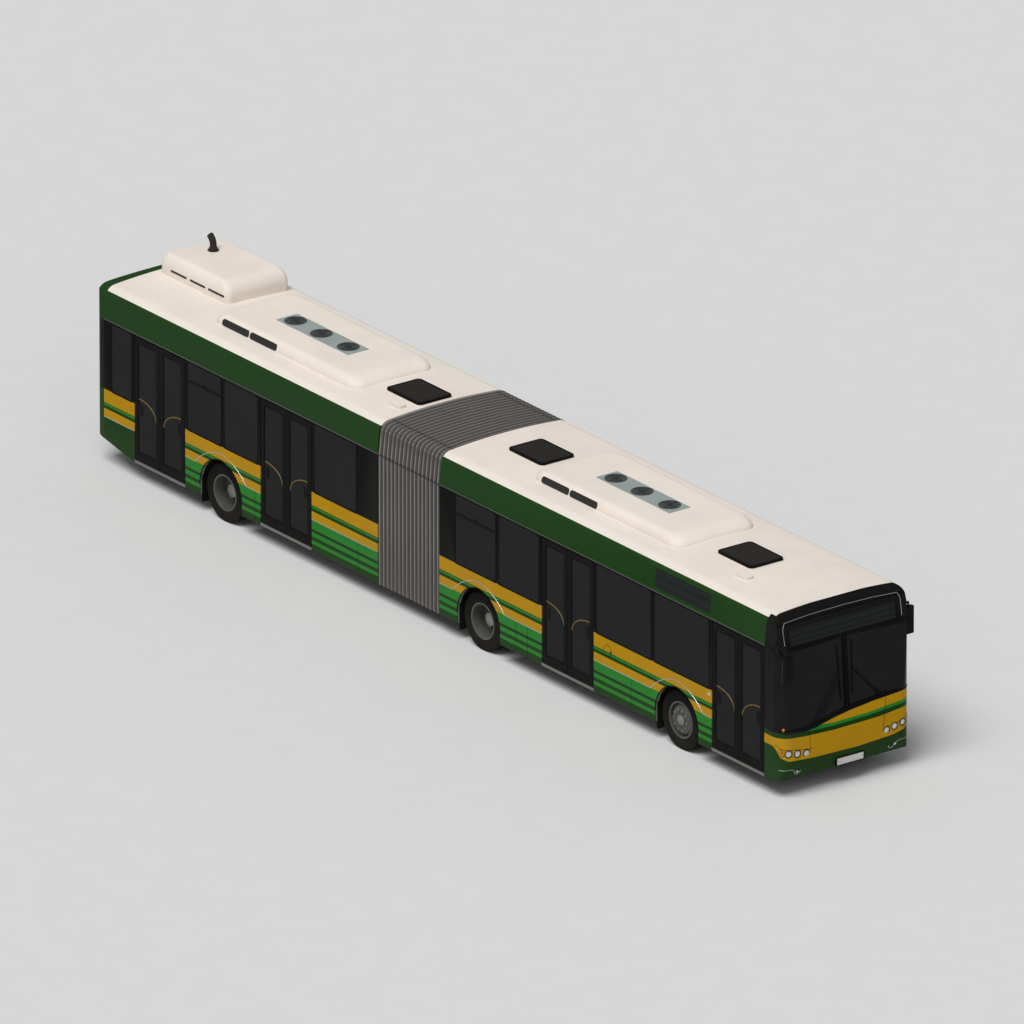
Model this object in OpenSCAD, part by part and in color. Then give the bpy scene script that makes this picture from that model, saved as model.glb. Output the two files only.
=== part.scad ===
// Low-floor articulated city bus: a front car and a rear car joined by a turntable and a bellows.
// The road is z = 0, the bus drives towards +X and its left side is +Y. The origin is on the road
// under the middle of the whole bus, mirrors included. All sizes are in millimetres.

/* [Length] */
// Nose to front axle
front_overhang = 2700; // [2600:10:3300]
// Front axle to middle axle
wheelbase_front = 5130; // [5000:10:6200]
// Middle axle to rear axle
wheelbase_rear = 6770; // [6700:10:8200]
// Rear axle to tail
rear_overhang = 3400; // [3300:10:4100]
// Middle axle back to the articulation pivot
pivot_setback = 1830; // [1600:10:2300]
// Gap between the two cars that the bellows spans
joint_gap = 1620; // [1300:10:1900]

/* [Section] */
// Width over the side walls
body_w = 2550; // [2500:10:3100]
// Height of the roof crown
roof_h = 3040; // [2980:10:3700]
// Thickness of the side walls and roof
wall_t = 60; // [40:1:75]
// Underside of the skirt
skirt_z = 290; // [250:5:320]
// Top of the passenger floor
floor_z = 340; // [330:5:400]
// Lower edge of the side windows
belt_z = 1285; // [1200:5:1400]
// Height of the side windows
glass_h = 1170; // [950:10:1240]
// Thickness of the window panes
glass_t = 8; // [5:1:12]

/* [Doors] */
// Width of each door opening
door_w = 1350; // [1150:10:1620]
// Top of the door openings
door_top = 2450; // [2200:10:2600]
// Nose to the first door
door1_setback = 450; // [430:10:540]
// Middle axle forward to the second door
door2_ahead = 1640; // [1400:10:1800]
// Rear axle forward to the third door
door3_ahead = 1050; // [900:10:1300]
// Rear axle back to the fourth door
door4_behind = 940; // [800:10:1130]
// Thickness of a door leaf
leaf_t = 40; // [30:1:50]

/* [Wheels] */
// Radius of the tyres
wheel_r = 483; // [460:1:500]
// Width of one tyre
tyre_w = 275; // [240:5:300]
// Distance of the outer tyres' middle from the centreline
track_half = 1070; // [1040:5:1080]
// Distance between the middles of twin tyres
twin_pitch = 340; // [320:5:350]
// Radius of the wheel arches
arch_r = 560; // [555:1:600]
// Distance of the kingpins from the centreline
kingpin_y = 960; // [940:5:965]

/* [Roof] */
// Length of a roof air-conditioning unit
ac_l = 3850; // [3200:10:4000]
// Width of a roof air-conditioning unit
ac_w = 1600; // [1300:10:1700]
// Height of the air-conditioning units above the roof crown
ac_h = 140; // [100:5:200]
// Length of a roof hatch
hatch_l = 880; // [700:10:1000]
// Width of a roof hatch
hatch_w = 660; // [500:10:800]
// Height of the rear intake pod above the roof crown
pod_h = 340; // [250:10:400]

/* [Mirrors] */
// How far the right mirror stands ahead of the nose
mirror_reach = 330; // [280:5:400]
// How far both mirrors stand out past the side walls
mirror_out = 195; // [180:5:260]

/* [Hidden] */
$fn = 64;
eps = 1;
seat_gap = 0.3;

// Stations along the bus
overall_l = front_overhang + wheelbase_front + wheelbase_rear + rear_overhang;
x_nose = (overall_l - mirror_reach) / 2;
x_tail = x_nose - overall_l;
x_axle1 = x_nose - front_overhang;
x_axle2 = x_axle1 - wheelbase_front;
x_axle3 = x_axle2 - wheelbase_rear;
x_pivot = x_axle2 - pivot_setback;
x_front_end = x_pivot + joint_gap / 2;
x_rear_start = x_pivot - joint_gap / 2;
x_door1 = x_nose - door1_setback;
x_door2 = x_axle2 + door2_ahead + door_w;
x_door3 = x_axle3 + door3_ahead + door_w;
x_door4 = x_axle3 - door4_behind;
tail_l = 300;
x_tail_joint = x_tail + tail_l;

// Cross-section
half_w = body_w / 2;
side_lean = 50;
edge_y = half_w - side_lean;
crown_rise = 63;
crown_steps = 16;
roof_edge_z = roof_h - crown_rise;
shoulder_r = 200;
gutter_z = roof_h - 120;
lean_z = door_top + 20;
glass_top = belt_z + glass_h;
inner_y = half_w - wall_t;

// Floor and wheel boxes
floor_t = 20;
rib_w = 60;
rib_pitch = 900;
rib_z = skirt_z;
box_wall = 25;
box_half = arch_r + 12;
box_inner_y = track_half - twin_pitch - tyre_w / 2 - 92;
box_top = wheel_r + arch_r + 12 + box_wall;

// Doors
door_gap = 14;
meeting_gap = 8;
leaf_w = (door_w - 2 * door_gap - meeting_gap) / 2;
leaf_low = floor_z + 10;
leaf_high = door_top - door_gap;
stile_w = 88;
rail_low = 150;
rail_high = 100;
pane_t = 6;
post_in = 40;
post_r = 12;

// Windows: [rear end, front end, number of panes] of each run
pillar_w = 56;
joint_panel = 410;
pane_lip = 30;
right_front_runs = [
    [x_front_end + joint_panel, x_door2 - door_w - pillar_w, 2],
    [x_door2 + pillar_w, x_door1 - door_w - pillar_w, 2]];
right_rear_runs = [
    [x_tail_joint + 200, x_door4 - door_w - pillar_w, 1],
    [x_door4 + pillar_w, x_door3 - door_w - pillar_w, 2],
    [x_door3 + pillar_w, x_rear_start - joint_panel - 130, 1]];
left_front_runs = [
    [x_front_end + joint_panel, x_axle1 + 1000, 5],
    [x_axle1 + 1000 + 2 * pillar_w, x_door1 - pillar_w, 1]];
left_rear_runs = [[x_axle3 - 2000, x_rear_start - joint_panel, 4]];

// Wheels: distances from the centreline along the hub, radii from the axle
rim_seat_r = 286;
rim_lip_r = 300;
barrel_t = 12;
disc_t = 14;
bead_half = tyre_w / 2 - 22;
lip_t = 9;
bolt_count = 10;
bolt_pcd = 335;
bolt_hole_r = 13;
disc_bore = 60;
twin_face = track_half - twin_pitch / 2;
front_face = track_half + 95;
spindle_r = 40;
twin_spindle_r = 50;
run_gap = 0.05;

// Axles
beam_low = 195;
beam_high = rib_z - 10;
beam_half = 60;
riser_y0 = box_inner_y + 15;
riser_y1 = track_half - twin_pitch - tyre_w / 2 - 7;
eye_r = 45;
eye_h = 110;
kingpin_r = 25;
ear_h = 38;

// Articulation
frame_t = 60;
gangway_half = 800;
gangway_top = 2300;
disc_r = joint_gap / 2 - 20;
bellows_depth = 130;
pivot_r = 60;
cradle_low = rib_z - 75;
cradle_high = floor_z - 45;

// Roof fittings
hatch_xs = [x_axle1 + 320, x_front_end + 1070, x_rear_start - 500];
hatch_y = -90;
hatch_size = [hatch_l, hatch_w];
hatch_t = 35;
hatch_corner = 70;
curb_h = 10;
curb_w = 40;
vent_size = [300, 170];
vent_y = -640;
vent_h = 25;
ac_xs = [x_axle1 - 2530, x_axle3 + 1000];
pod_l = 1850;
pod_x = x_tail_joint + 60;
pod_y = [-250, 1000];
pipe_r = 55;

// Prisms along each axis from a 2-D outline
module along_x(x0, x1) translate([x0, 0, 0]) rotate([90, 0, 90]) linear_extrude(x1 - x0) children();
module along_y(y0, y1) translate([0, y1, 0]) rotate([90, 0, 0]) linear_extrude(y1 - y0) children();
module block(low, high) translate(low) cube(high - low);
module rounded(size, r) offset(r = r) offset(delta = -r) square(size, center = true);

// Outline of the body across the bus, with leaning window tops, round shoulders and a crowned roof
module body_section(inset = 0) {
    crown = [for (i = [0:crown_steps]) let (t = 1 - 2 * i / crown_steps)
        [t * edge_y, roof_edge_z + crown_rise * (1 - t * t)]];
    offset(delta = -inset) offset(r = shoulder_r, $fn = 48) offset(delta = -shoulder_r)
        polygon(concat([[-half_w, -900], [half_w, -900], [half_w, lean_z]], crown, [[-half_w, lean_z]]));
}

module body_tube(x0, x1) difference() {
    along_x(x0, x1) body_section();
    along_x(x0 - eps, x1 + eps) body_section(wall_t);
}

function run_pane(run, i) = let (w = (run[1] - run[0] - (run[2] - 1) * pillar_w) / run[2])
    [run[0] + i * (w + pillar_w), run[0] + i * (w + pillar_w) + w];

// Both bodies' side walls and the panes in them use the same runs
module window_cuts(runs, side) for (run = runs, i = [0:run[2] - 1]) {
    x = run_pane(run, i);
    mirror([0, side < 0 ? 1 : 0, 0]) {
        block([x[0], half_w - glass_t, belt_z], [x[1], half_w + eps, glass_top]);
        block([x[0] + pane_lip, inner_y - 20, belt_z + pane_lip],
            [x[1] - pane_lip, half_w, glass_top - pane_lip]);
    }
}
module panes(runs, side) for (run = runs, i = [0:run[2] - 1]) {
    x = run_pane(run, i);
    mirror([0, side < 0 ? 1 : 0, 0])
        block([x[0] + seat_gap, half_w - glass_t, belt_z + seat_gap],
            [x[1] - seat_gap, half_w, glass_top - seat_gap]);
}

module arch_cut(x) {
    along_y(-half_w - eps, half_w + eps) translate([x, wheel_r]) circle(arch_r);
    block([x - arch_r, -half_w - eps, 0], [x + arch_r, half_w + eps, wheel_r]);
}

module door_cut(x_front, past = 0)
    block([x_front - door_w, -half_w - eps, 0], [x_front + past, 0, door_top]);

module side_wall(side, x0, x1, runs, axles) difference() {
    intersection() {
        body_tube(x0, x1);
        block([x0, side > 0 ? 0 : -half_w, skirt_z], [x1, side > 0 ? half_w : 0, gutter_z]);
    }
    window_cuts(runs, side);
    for (x = axles) arch_cut(x);
}

module front_side_right() color([0.08, 0.36, 0.08]) difference() {
    side_wall(-1, x_front_end, x_door1, right_front_runs, [x_axle1, x_axle2]);
    door_cut(x_door1, eps);
    door_cut(x_door2);
    side_sign_cut(0);
}
module front_side_left() color([0.08, 0.36, 0.08])
    side_wall(1, x_front_end, x_door1, left_front_runs, [x_axle1, x_axle2]);

// The rear overhang's skirt rises towards the tail
module rise_cut() along_y(-half_w - eps, half_w + eps)
    polygon([[x_door4 - door_w, skirt_z], [x_tail - eps, skirt_z + 215], [x_tail - eps, 0],
        [x_door4 - door_w, 0]]);

module rear_side_right() color([0.08, 0.36, 0.08]) difference() {
    side_wall(-1, x_tail_joint, x_rear_start, right_rear_runs, [x_axle3]);
    for (x = [x_door3, x_door4]) door_cut(x);
    rise_cut();
}
module rear_side_left() color([0.08, 0.36, 0.08]) difference() {
    side_wall(1, x_tail_joint, x_rear_start, left_rear_runs, [x_axle3]);
    rise_cut();
}

// Roofs: the shell above the gutters, with a raised curb round each hatch opening
module roof_shell(x0, x1, hatches, vent_x) difference() {
    union() {
        intersection() {
            body_tube(x0, x1);
            block([x0, -half_w, gutter_z], [x1, half_w, roof_h + eps]);
        }
        for (x = hatches) translate([x, hatch_y, roof_h - wall_t + 20]) linear_extrude(wall_t - 20 + curb_h)
            rounded(hatch_size, hatch_corner - 10);
        translate([vent_x, vent_y, roof_h - wall_t]) linear_extrude(wall_t + vent_h)
            rounded(vent_size, vent_size[1] / 2 - 15);
    }
    for (x = hatches) translate([x, hatch_y, roof_h - 200]) linear_extrude(400)
        rounded(hatch_size - 2 * [curb_w, curb_w], hatch_corner - 30);
}
module front_roof() color([0.92, 0.88, 0.84])
    roof_shell(x_front_end, x_door1, [hatch_xs[0], hatch_xs[1]], x_axle1 + 900);
module rear_roof() color([0.92, 0.88, 0.84])
    roof_shell(x_tail_joint, x_rear_start, [hatch_xs[2]], x_rear_start - 330);

module hatch(i) color([0.2, 0.19, 0.17]) translate([hatch_xs[i], hatch_y, roof_h + curb_h + seat_gap])
    linear_extrude(hatch_t) rounded(hatch_size, hatch_corner);
module front_hatch() hatch(0);
module middle_hatch() hatch(1);
module rear_hatch() hatch(2);

// Nose: where the section, a plan outline with round corners and a raked side profile all overlap
nose_r = 230;
nose_bow = 40;
function bow_pts(x, sign) = [for (i = [-6:6]) [x - sign * nose_bow * pow(i / 6, 2), i / 6 * half_w]];
module plan_outline(inset, x_end, sign) offset(delta = -inset) offset(r = nose_r) offset(delta = -nose_r)
    polygon(concat(sign > 0 ? [[x_end - 1500, half_w], [x_end - 1500, -half_w]]
        : [[x_end + 1500, half_w], [x_end + 1500, -half_w]], bow_pts(x_end, sign)));
module nose_profile(inset) offset(delta = -inset) offset(r = 150) offset(delta = -150)
    polygon([[x_nose - 1500, -700], [x_nose - 230, -700], [x_nose - 135, skirt_z], [x_nose - 15, 600],
        [x_nose, 950], [x_nose - 25, 1300], [x_nose - 115, 2450], [x_nose - 190, 2850],
        [x_nose - 345, roof_h + 20], [x_nose - 1500, roof_h + 20]]);
module nose_form(inset = 0) intersection() {
    along_x(x_nose - 1400, x_nose + 50) body_section(inset);
    translate([0, 0, -600]) linear_extrude(roof_h + 700) plan_outline(inset, x_nose, 1);
    along_y(-half_w - 50, half_w + 50) nose_profile(inset);
}
windscreen_wrap = 270;
glass_shell = 10;
divider_half = 60;
module windscreen_zone(inset = 0) along_x(x_nose - windscreen_wrap + inset, x_nose + 40)
    offset(delta = -inset) {
        polygon([[-half_w - 40, 1150], [-1020, 1162], [-740, 1180], [-480, 1220], [-250, 1273],
            [-divider_half, 1306], [-divider_half, 2425], [-half_w - 40, 2372]]);
        polygon([[divider_half, 1312], [735, 1376], [half_w + 40, 1330], [half_w + 40, 2372],
            [divider_half, 2425]]);
    }
module sign_zone(inset = 0) along_x(x_nose - windscreen_wrap, x_nose + 40)
    translate([0, front_sign_z]) offset(delta = -inset) square(front_sign_size, center = true);
module nose() color([0.6, 0.46, 0.03]) difference() {
    intersection() {
        nose_form();
        block([x_door1, -half_w, skirt_z], [x_nose + 10, half_w, roof_h + 10]);
    }
    nose_form(wall_t);
    windscreen_zone();
    sign_zone();
}
module nose_skin(t) difference() { nose_form(); nose_form(t); }
module windscreen() color([0.11, 0.12, 0.12, 0.6])
    intersection() { nose_skin(glass_shell); windscreen_zone(seat_gap); }

// Side destination sign, set into the cantrail above the window behind the first door
sign_x = x_axle1 + 130;
sign_z = 2695;
sign_size = [1420, 300];
sign_corner = 20;
sign_t = 20;
front_sign_z = 2618;
front_sign_size = [2030, 256];
module side_sign_cut(inset) intersection() {
    difference() {
        along_x(x_front_end, x_door1) body_section(-eps + inset);
        along_x(x_front_end - eps, x_door1 + eps) body_section(sign_t - inset);
    }
    along_y(-half_w - 10, -half_w + 200) translate([sign_x, sign_z])
        offset(delta = -inset) rounded(sign_size, sign_corner);
}
module destination_signs() color([0.05, 0.05, 0.06]) {
    intersection() { nose_skin(sign_t); sign_zone(seat_gap); }
    intersection() {
        side_sign_cut(seat_gap);
        along_x(x_front_end, x_door1) body_section();
    }
}

// Tail: as the nose, with an upright profile and openings for the rear window and engine flap
flap_half = 900;
flap_z = [640, 1380];
flap_gap = 8;
flap_t = 30;
flap_hinge_in = 4;
rear_glass = [850, 1560, 2330];
module tail_profile(inset) offset(delta = -inset) offset(r = 120) offset(delta = -120)
    polygon([[x_tail + 1500, -700], [x_tail, -700], [x_tail, 1500], [x_tail + 55, 2700],
        [x_tail + 120, roof_h + 20], [x_tail + 1500, roof_h + 20]]);
module tail_form(inset = 0) intersection() {
    along_x(x_tail - 50, x_tail + 1400) body_section(inset);
    translate([0, 0, -600]) linear_extrude(roof_h + 700) plan_outline(inset, x_tail, -1);
    along_y(-half_w - 50, half_w + 50) tail_profile(inset);
}
module flap_zone(inset = 0) along_x(x_tail - 20, x_tail + 110) offset(delta = -inset)
    translate([-flap_half, flap_z[0]]) square([2 * flap_half, flap_z[1] - flap_z[0]]);
module rear_glass_zone(inset = 0) along_x(x_tail - 20, x_tail + 140) offset(delta = -inset)
    translate([-rear_glass[0], rear_glass[1]]) square([2 * rear_glass[0], rear_glass[2] - rear_glass[1]]);
module tail() color([0.05, 0.22, 0.04]) difference() {
    intersection() {
        tail_form();
        block([x_tail - 10, -half_w, skirt_z], [x_tail_joint, half_w, roof_h + 10]);
    }
    tail_form(wall_t);
    flap_zone();
    rear_glass_zone();
    rise_cut();
}
module engine_flap() color([0.05, 0.22, 0.04]) {
    intersection() {
        difference() { tail_form(); tail_form(flap_t); }
        flap_zone(flap_gap);
        block([x_tail - 10, -half_w, 0], [x_tail + 200, half_w, flap_z[1] - 2 * flap_gap]);
    }
    translate([x_tail + flap_hinge_in, -150, flap_z[1] - flap_gap]) rotate([-90, 0, 0])
        cylinder(r = flap_gap - seat_gap, h = 300);
    block([x_tail + flap_hinge_in, -150, flap_z[1] - 2 * flap_gap - 4],
        [x_tail + flap_hinge_in + 6, 150, flap_z[1] - flap_gap]);
}

module front_windows() color([0.11, 0.12, 0.12, 0.6]) {
    panes(right_front_runs, -1);
    panes(left_front_runs, 1);
}
module rear_windows() color([0.11, 0.12, 0.12, 0.6]) {
    panes(right_rear_runs, -1);
    panes(left_rear_runs, 1);
    intersection() {
        difference() { tail_form(); tail_form(glass_shell); }
        rear_glass_zone(seat_gap);
    }
}

// Floors: a plate on ribs, wheel boxes over the tyres and a sill across each doorway
module car_floor(x0, x1, axles, doors) difference() {
    union() {
        block([x0, -inner_y, floor_z - floor_t], [x1, inner_y, floor_z]);
        for (y = [-900, -420, 420, 900])
            block([x0, y - rib_w / 2, rib_z], [x1, y + rib_w / 2, floor_z - floor_t]);
        for (x = [x0:rib_pitch:x1 - rib_w])
            block([x, -inner_y, rib_z], [x + rib_w, inner_y, floor_z - floor_t]);
        for (x = axles, side = [-1, 1]) mirror([0, side < 0 ? 1 : 0, 0])
            block([x - box_half - box_wall, box_inner_y - box_wall, rib_z],
                [x + box_half + box_wall, inner_y, box_top]);
        for (x = doors) block([x - door_w, -half_w, rib_z], [x, -inner_y, floor_z]);
    }
    for (x = axles, side = [-1, 1]) mirror([0, side < 0 ? 1 : 0, 0])
        block([x - box_half, box_inner_y, 0], [x + box_half, half_w, box_top - box_wall]);
}
tow_x = x_door1 - 130;
tow_bore_r = 20;
tow_low = rib_z - 60;
module front_floor() color([0.3, 0.3, 0.32]) difference() {
    union() {
        car_floor(x_front_end + frame_t, x_door1, [x_axle1, x_axle2], [x_door1, x_door2]);
        block([tow_x - 70, -90, tow_low], [x_door1, 90, floor_z - floor_t]);
    }
    translate([tow_x, 0, tow_low - eps]) cylinder(r = tow_bore_r, h = 61);
}
module rear_floor() color([0.3, 0.3, 0.32]) difference() {
    car_floor(x_tail_joint, x_rear_start - frame_t, [x_axle3], [x_door3, x_door4]);
    rise_cut();
}

// Joint frames: a portal at the end of each car, with the turntable between them
module portal(x0) difference() {
    along_x(x0, x0 + frame_t) intersection() {
        body_section(wall_t + seat_gap);
        translate([-half_w, skirt_z]) square([body_w, roof_h]);
    }
    block([x0 - eps, -gangway_half, floor_z], [x0 + frame_t + eps, gangway_half, gangway_top]);
}
module front_joint_frame() color([0.25, 0.25, 0.27]) difference() {
    union() {
        portal(x_front_end);
        block([x_pivot, -350, cradle_low], [x_front_end + frame_t, 350, cradle_high]);
        translate([x_pivot, 0, cradle_low]) cylinder(r = 350, h = cradle_high - cradle_low);
    }
    translate([x_pivot, 0, 0]) cylinder(r = pivot_r + run_gap, h = floor_z);
}
module rear_joint_frame() color([0.2, 0.2, 0.22]) {
    portal(x_rear_start - frame_t);
    block([x_rear_start - frame_t, -450, floor_z - 30], [x_pivot, 450, floor_z]);
    translate([x_pivot, 0, floor_z - 30]) cylinder(r = disc_r, h = 30, $fn = 128);
    translate([x_pivot, 0, cradle_low - 20]) cylinder(r = pivot_r, h = floor_z - cradle_low + 10);
}
module bellows() color([0.36, 0.33, 0.31]) difference() {
    along_x(x_rear_start + seat_gap, x_front_end - seat_gap) intersection() {
        body_section();
        translate([-half_w, skirt_z]) square([body_w, roof_h]);
    }
    along_x(x_rear_start, x_front_end) intersection() {
        body_section(bellows_depth);
        translate([-half_w, 0]) square([body_w, roof_h]);
    }
}

// Wheels are drawn about the vertical, with z the distance from the centreline
module at_wheel(x, side) translate([x, 0, wheel_r]) rotate([-90 * side, 0, 0]) children();
module barrel(mid) translate([0, 0, mid]) rotate_extrude() for (m = [0, 1]) mirror([0, m])
    polygon([[rim_seat_r - barrel_t, 0], [rim_seat_r - seat_gap, 0], [rim_seat_r - seat_gap, bead_half + 1],
        [rim_lip_r, bead_half + 3], [rim_lip_r, bead_half + lip_t], [rim_seat_r - barrel_t, bead_half + lip_t]]);
// Dished disc whose flat mounting face is at z = face and whose rim side is towards "open"
module dish(face, open) translate([0, 0, face]) mirror([0, 0, open < 0 ? 1 : 0]) rotate_extrude()
    polygon([[disc_bore, 0], [215, 0], [rim_seat_r - 10, 52], [rim_seat_r - 10, 70], [rim_seat_r - 26, 70],
        [208, disc_t], [disc_bore, disc_t]]);
module bolt_holes(z) for (i = [0:bolt_count - 1]) rotate(i * 360 / bolt_count)
    translate([bolt_pcd / 2, 0, z - 60]) cylinder(r = bolt_hole_r, h = 120);

module front_rim(side) color([0.5, 0.51, 0.5]) at_wheel(x_axle1, side) difference() {
    union() {
        barrel(track_half);
        dish(front_face + disc_t, -1);
        translate([0, 0, track_half - 30]) cylinder(r = 88, h = 125 + disc_t + 12);
        translate([0, 0, track_half - 25]) cylinder(r = 205, h = 25);
        translate([0, 0, track_half - 30]) cylinder(r = 125, h = 80);
    }
    translate([0, 0, track_half - 31]) cylinder(r = spindle_r + run_gap, h = 96);
    bolt_holes(front_face + 10);
}
module twin_rim(x, side) color([0.5, 0.51, 0.5]) at_wheel(x, side) difference() {
    union() {
        barrel(track_half);
        barrel(track_half - twin_pitch);
        dish(twin_face, 1);
        dish(twin_face, -1);
        translate([0, 0, twin_face - 160]) cylinder(r = 112, h = 325);
    }
    translate([0, 0, twin_face - 161]) cylinder(r = twin_spindle_r + run_gap, h = 286);
    bolt_holes(twin_face);
}
module tyre(mid) translate([0, 0, mid]) rotate_extrude($fn = 96) for (m = [0, 1]) mirror([0, m])
    polygon([[rim_seat_r, 0], [wheel_r, 0], [wheel_r, tyre_w / 2 - 32], [wheel_r - 6, tyre_w / 2 - 16],
        [wheel_r - 22, tyre_w / 2 - 7], [wheel_r - 55, tyre_w / 2 - 2], [wheel_r - 95, tyre_w / 2],
        [wheel_r - 140, tyre_w / 2 - 5], [rim_lip_r + 6, bead_half + 6], [rim_lip_r + 2, bead_half],
        [rim_seat_r, bead_half]]);
module front_tyre(side) color([0.06, 0.06, 0.065]) at_wheel(x_axle1, side) tyre(track_half);
module twin_tyres(x, side) color([0.06, 0.06, 0.065]) at_wheel(x, side) {
    tyre(track_half);
    tyre(track_half - twin_pitch);
}
module front_rim_left() front_rim(1);
module front_rim_right() front_rim(-1);
module front_tyre_left() front_tyre(1);
module front_tyre_right() front_tyre(-1);
module middle_rim_left() twin_rim(x_axle2, 1);
module middle_rim_right() twin_rim(x_axle2, -1);
module middle_tyres_left() twin_tyres(x_axle2, 1);
module middle_tyres_right() twin_tyres(x_axle2, -1);
module rear_rim_left() twin_rim(x_axle3, 1);
module rear_rim_right() twin_rim(x_axle3, -1);
module rear_tyres_left() twin_tyres(x_axle3, 1);
module rear_tyres_right() twin_tyres(x_axle3, -1);

// Dropped axle beams: low between the wheel boxes, rising inboard of the tyres
module dropped_beam(x, rise_top) {
    block([x - beam_half, -riser_y1, beam_low], [x + beam_half, riser_y1, beam_high]);
    for (side = [-1, 1]) mirror([0, side < 0 ? 1 : 0, 0]) {
        block([x - beam_half, riser_y0, beam_low], [x + beam_half, riser_y1, rise_top]);
        translate([x, 420, beam_high]) cylinder(r = 50, h = rib_z - beam_high);
    }
}
module front_axle() color([0.15, 0.15, 0.16]) difference() {
    union() {
        dropped_beam(x_axle1, wheel_r + 45);
        for (side = [-1, 1]) mirror([0, side < 0 ? 1 : 0, 0]) {
            block([x_axle1 - 40, riser_y0, wheel_r - 45], [x_axle1 + 40, kingpin_y, wheel_r + 45]);
            translate([x_axle1, kingpin_y, wheel_r - eye_h / 2]) cylinder(r = eye_r, h = eye_h);
        }
    }
    for (y = [-kingpin_y, kingpin_y])
        translate([x_axle1, y, wheel_r - 100]) cylinder(r = kingpin_r + run_gap, h = 200);
}
module twin_axle(x) {
    dropped_beam(x, wheel_r + 110);
    for (side = [-1, 1]) at_wheel(x, side) {
        translate([0, 0, riser_y0]) cylinder(r = 110, h = riser_y1 - riser_y0);
        translate([0, 0, riser_y0]) cylinder(r = 190, h = riser_y1 - riser_y0 - 20);
        translate([0, 0, riser_y0]) cylinder(r = 105, h = twin_face - 175 - riser_y0);
        translate([0, 0, riser_y0]) cylinder(r = twin_spindle_r, h = twin_face + 115 - riser_y0);
    }
}
module middle_axle() color([0.15, 0.15, 0.16]) twin_axle(x_axle2);
module rear_axle() color([0.15, 0.15, 0.16]) {
    twin_axle(x_axle3);
    translate([x_axle3 + 60, 250, (beam_low + beam_high) / 2]) rotate([0, -90, 0]) cylinder(r = 42, h = 320);
}

// Steering knuckle: two ears on the kingpin, a plate outboard of them and the wheel spindle
module knuckle(side) color([0.2, 0.2, 0.21]) mirror([0, side < 0 ? 1 : 0, 0]) translate([x_axle1, 0, wheel_r]) {
    ear_z = eye_h / 2 + 1;
    translate([0, kingpin_y, -ear_z - ear_h]) cylinder(r = kingpin_r, h = 2 * (ear_z + ear_h));
    for (z = [-ear_z - ear_h, ear_z]) {
        translate([0, kingpin_y, z]) cylinder(r = eye_r, h = ear_h);
        translate([-eye_r, kingpin_y, z]) cube([2 * eye_r, eye_r + 20, ear_h]);
    }
    translate([-eye_r, kingpin_y + eye_r + 4, -ear_z - ear_h]) cube([2 * eye_r, 18, 2 * (ear_z + ear_h)]);
    translate([0, kingpin_y + eye_r + 4, 0]) rotate([-90, 0, 0])
        cylinder(r = spindle_r, h = track_half + 58 - kingpin_y - eye_r - 4);
}
module knuckle_left() knuckle(1);
module knuckle_right() knuckle(-1);

// Door leaves: a frame with one tall pane, the outer face flush with the side wall
module leaf(x_front, rear) color([0.03, 0.03, 0.035]) {
    x0 = rear ? x_front - door_w + door_gap : x_front - door_gap - leaf_w;
    difference() {
        block([x0, -half_w, leaf_low], [x0 + leaf_w, -half_w + leaf_t, leaf_high]);
        block([x0 + stile_w, -half_w - eps, leaf_low + rail_low],
            [x0 + leaf_w - stile_w, -half_w + leaf_t + eps, leaf_high - rail_high]);
    }
    post_x = rear ? x0 + post_in : x0 + leaf_w - post_in;
    for (z = [[floor_z + seat_gap, leaf_low + eps], [leaf_high - eps, door_top - seat_gap]])
        translate([post_x, -half_w + leaf_t / 2, z[0]]) cylinder(r = post_r, h = z[1] - z[0]);
    block([x0 + stile_w - 5, -half_w + 10, leaf_low + rail_low - 5],
        [x0 + leaf_w - stile_w + 5, -half_w + 10 + pane_t, leaf_high - rail_high + 5]);
}
module door1_front_leaf() leaf(x_door1, false);
module door1_rear_leaf() leaf(x_door1, true);
module door2_front_leaf() leaf(x_door2, false);
module door2_rear_leaf() leaf(x_door2, true);
module door3_front_leaf() leaf(x_door3, false);
module door3_rear_leaf() leaf(x_door3, true);
module door4_front_leaf() leaf(x_door4, false);
module door4_rear_leaf() leaf(x_door4, true);

// Roof units, cut to sit on the crowned roof
module ac_unit(x) color([0.9, 0.87, 0.83]) difference() {
    hull() {
        translate([x, 0, roof_h - 90]) linear_extrude(1) rounded([ac_l, ac_w], 220, $fn = 32);
        translate([x, 0, roof_h + ac_h * 0.45]) linear_extrude(1)
            rounded([ac_l - 120, ac_w - 60], 220, $fn = 32);
        translate([x - 60, 0, roof_h + ac_h - 1]) linear_extrude(1)
            rounded([ac_l - 500, ac_w - 260], 200, $fn = 32);
    }
    along_x(x - ac_l, x + ac_l) body_section(-seat_gap);
}
module front_ac_unit() ac_unit(ac_xs[0]);
module rear_ac_unit() ac_unit(ac_xs[1]);
module intake_pod() color([0.9, 0.87, 0.83]) difference() {
    pod_w = pod_y[1] - pod_y[0];
    translate([pod_x + pod_l / 2, (pod_y[0] + pod_y[1]) / 2, 0]) hull() {
        translate([0, 0, roof_h - 120]) linear_extrude(1) rounded([pod_l, pod_w], 110, $fn = 32);
        translate([-60, 0, roof_h + pod_h * 0.7]) linear_extrude(1)
            rounded([pod_l - 170, pod_w - 60], 110, $fn = 32);
        translate([-90, 0, roof_h + pod_h - 1]) linear_extrude(1)
            rounded([pod_l - 370, pod_w - 230], 110, $fn = 32);
    }
    along_x(pod_x - 50, pod_x + pod_l + 50) body_section(-seat_gap);
}
bend_r = 160;
bend_angle = 62;
pipe_t = 5;
pipe_rise = 90;
pipe_from_pod = [480, 720];
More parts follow.
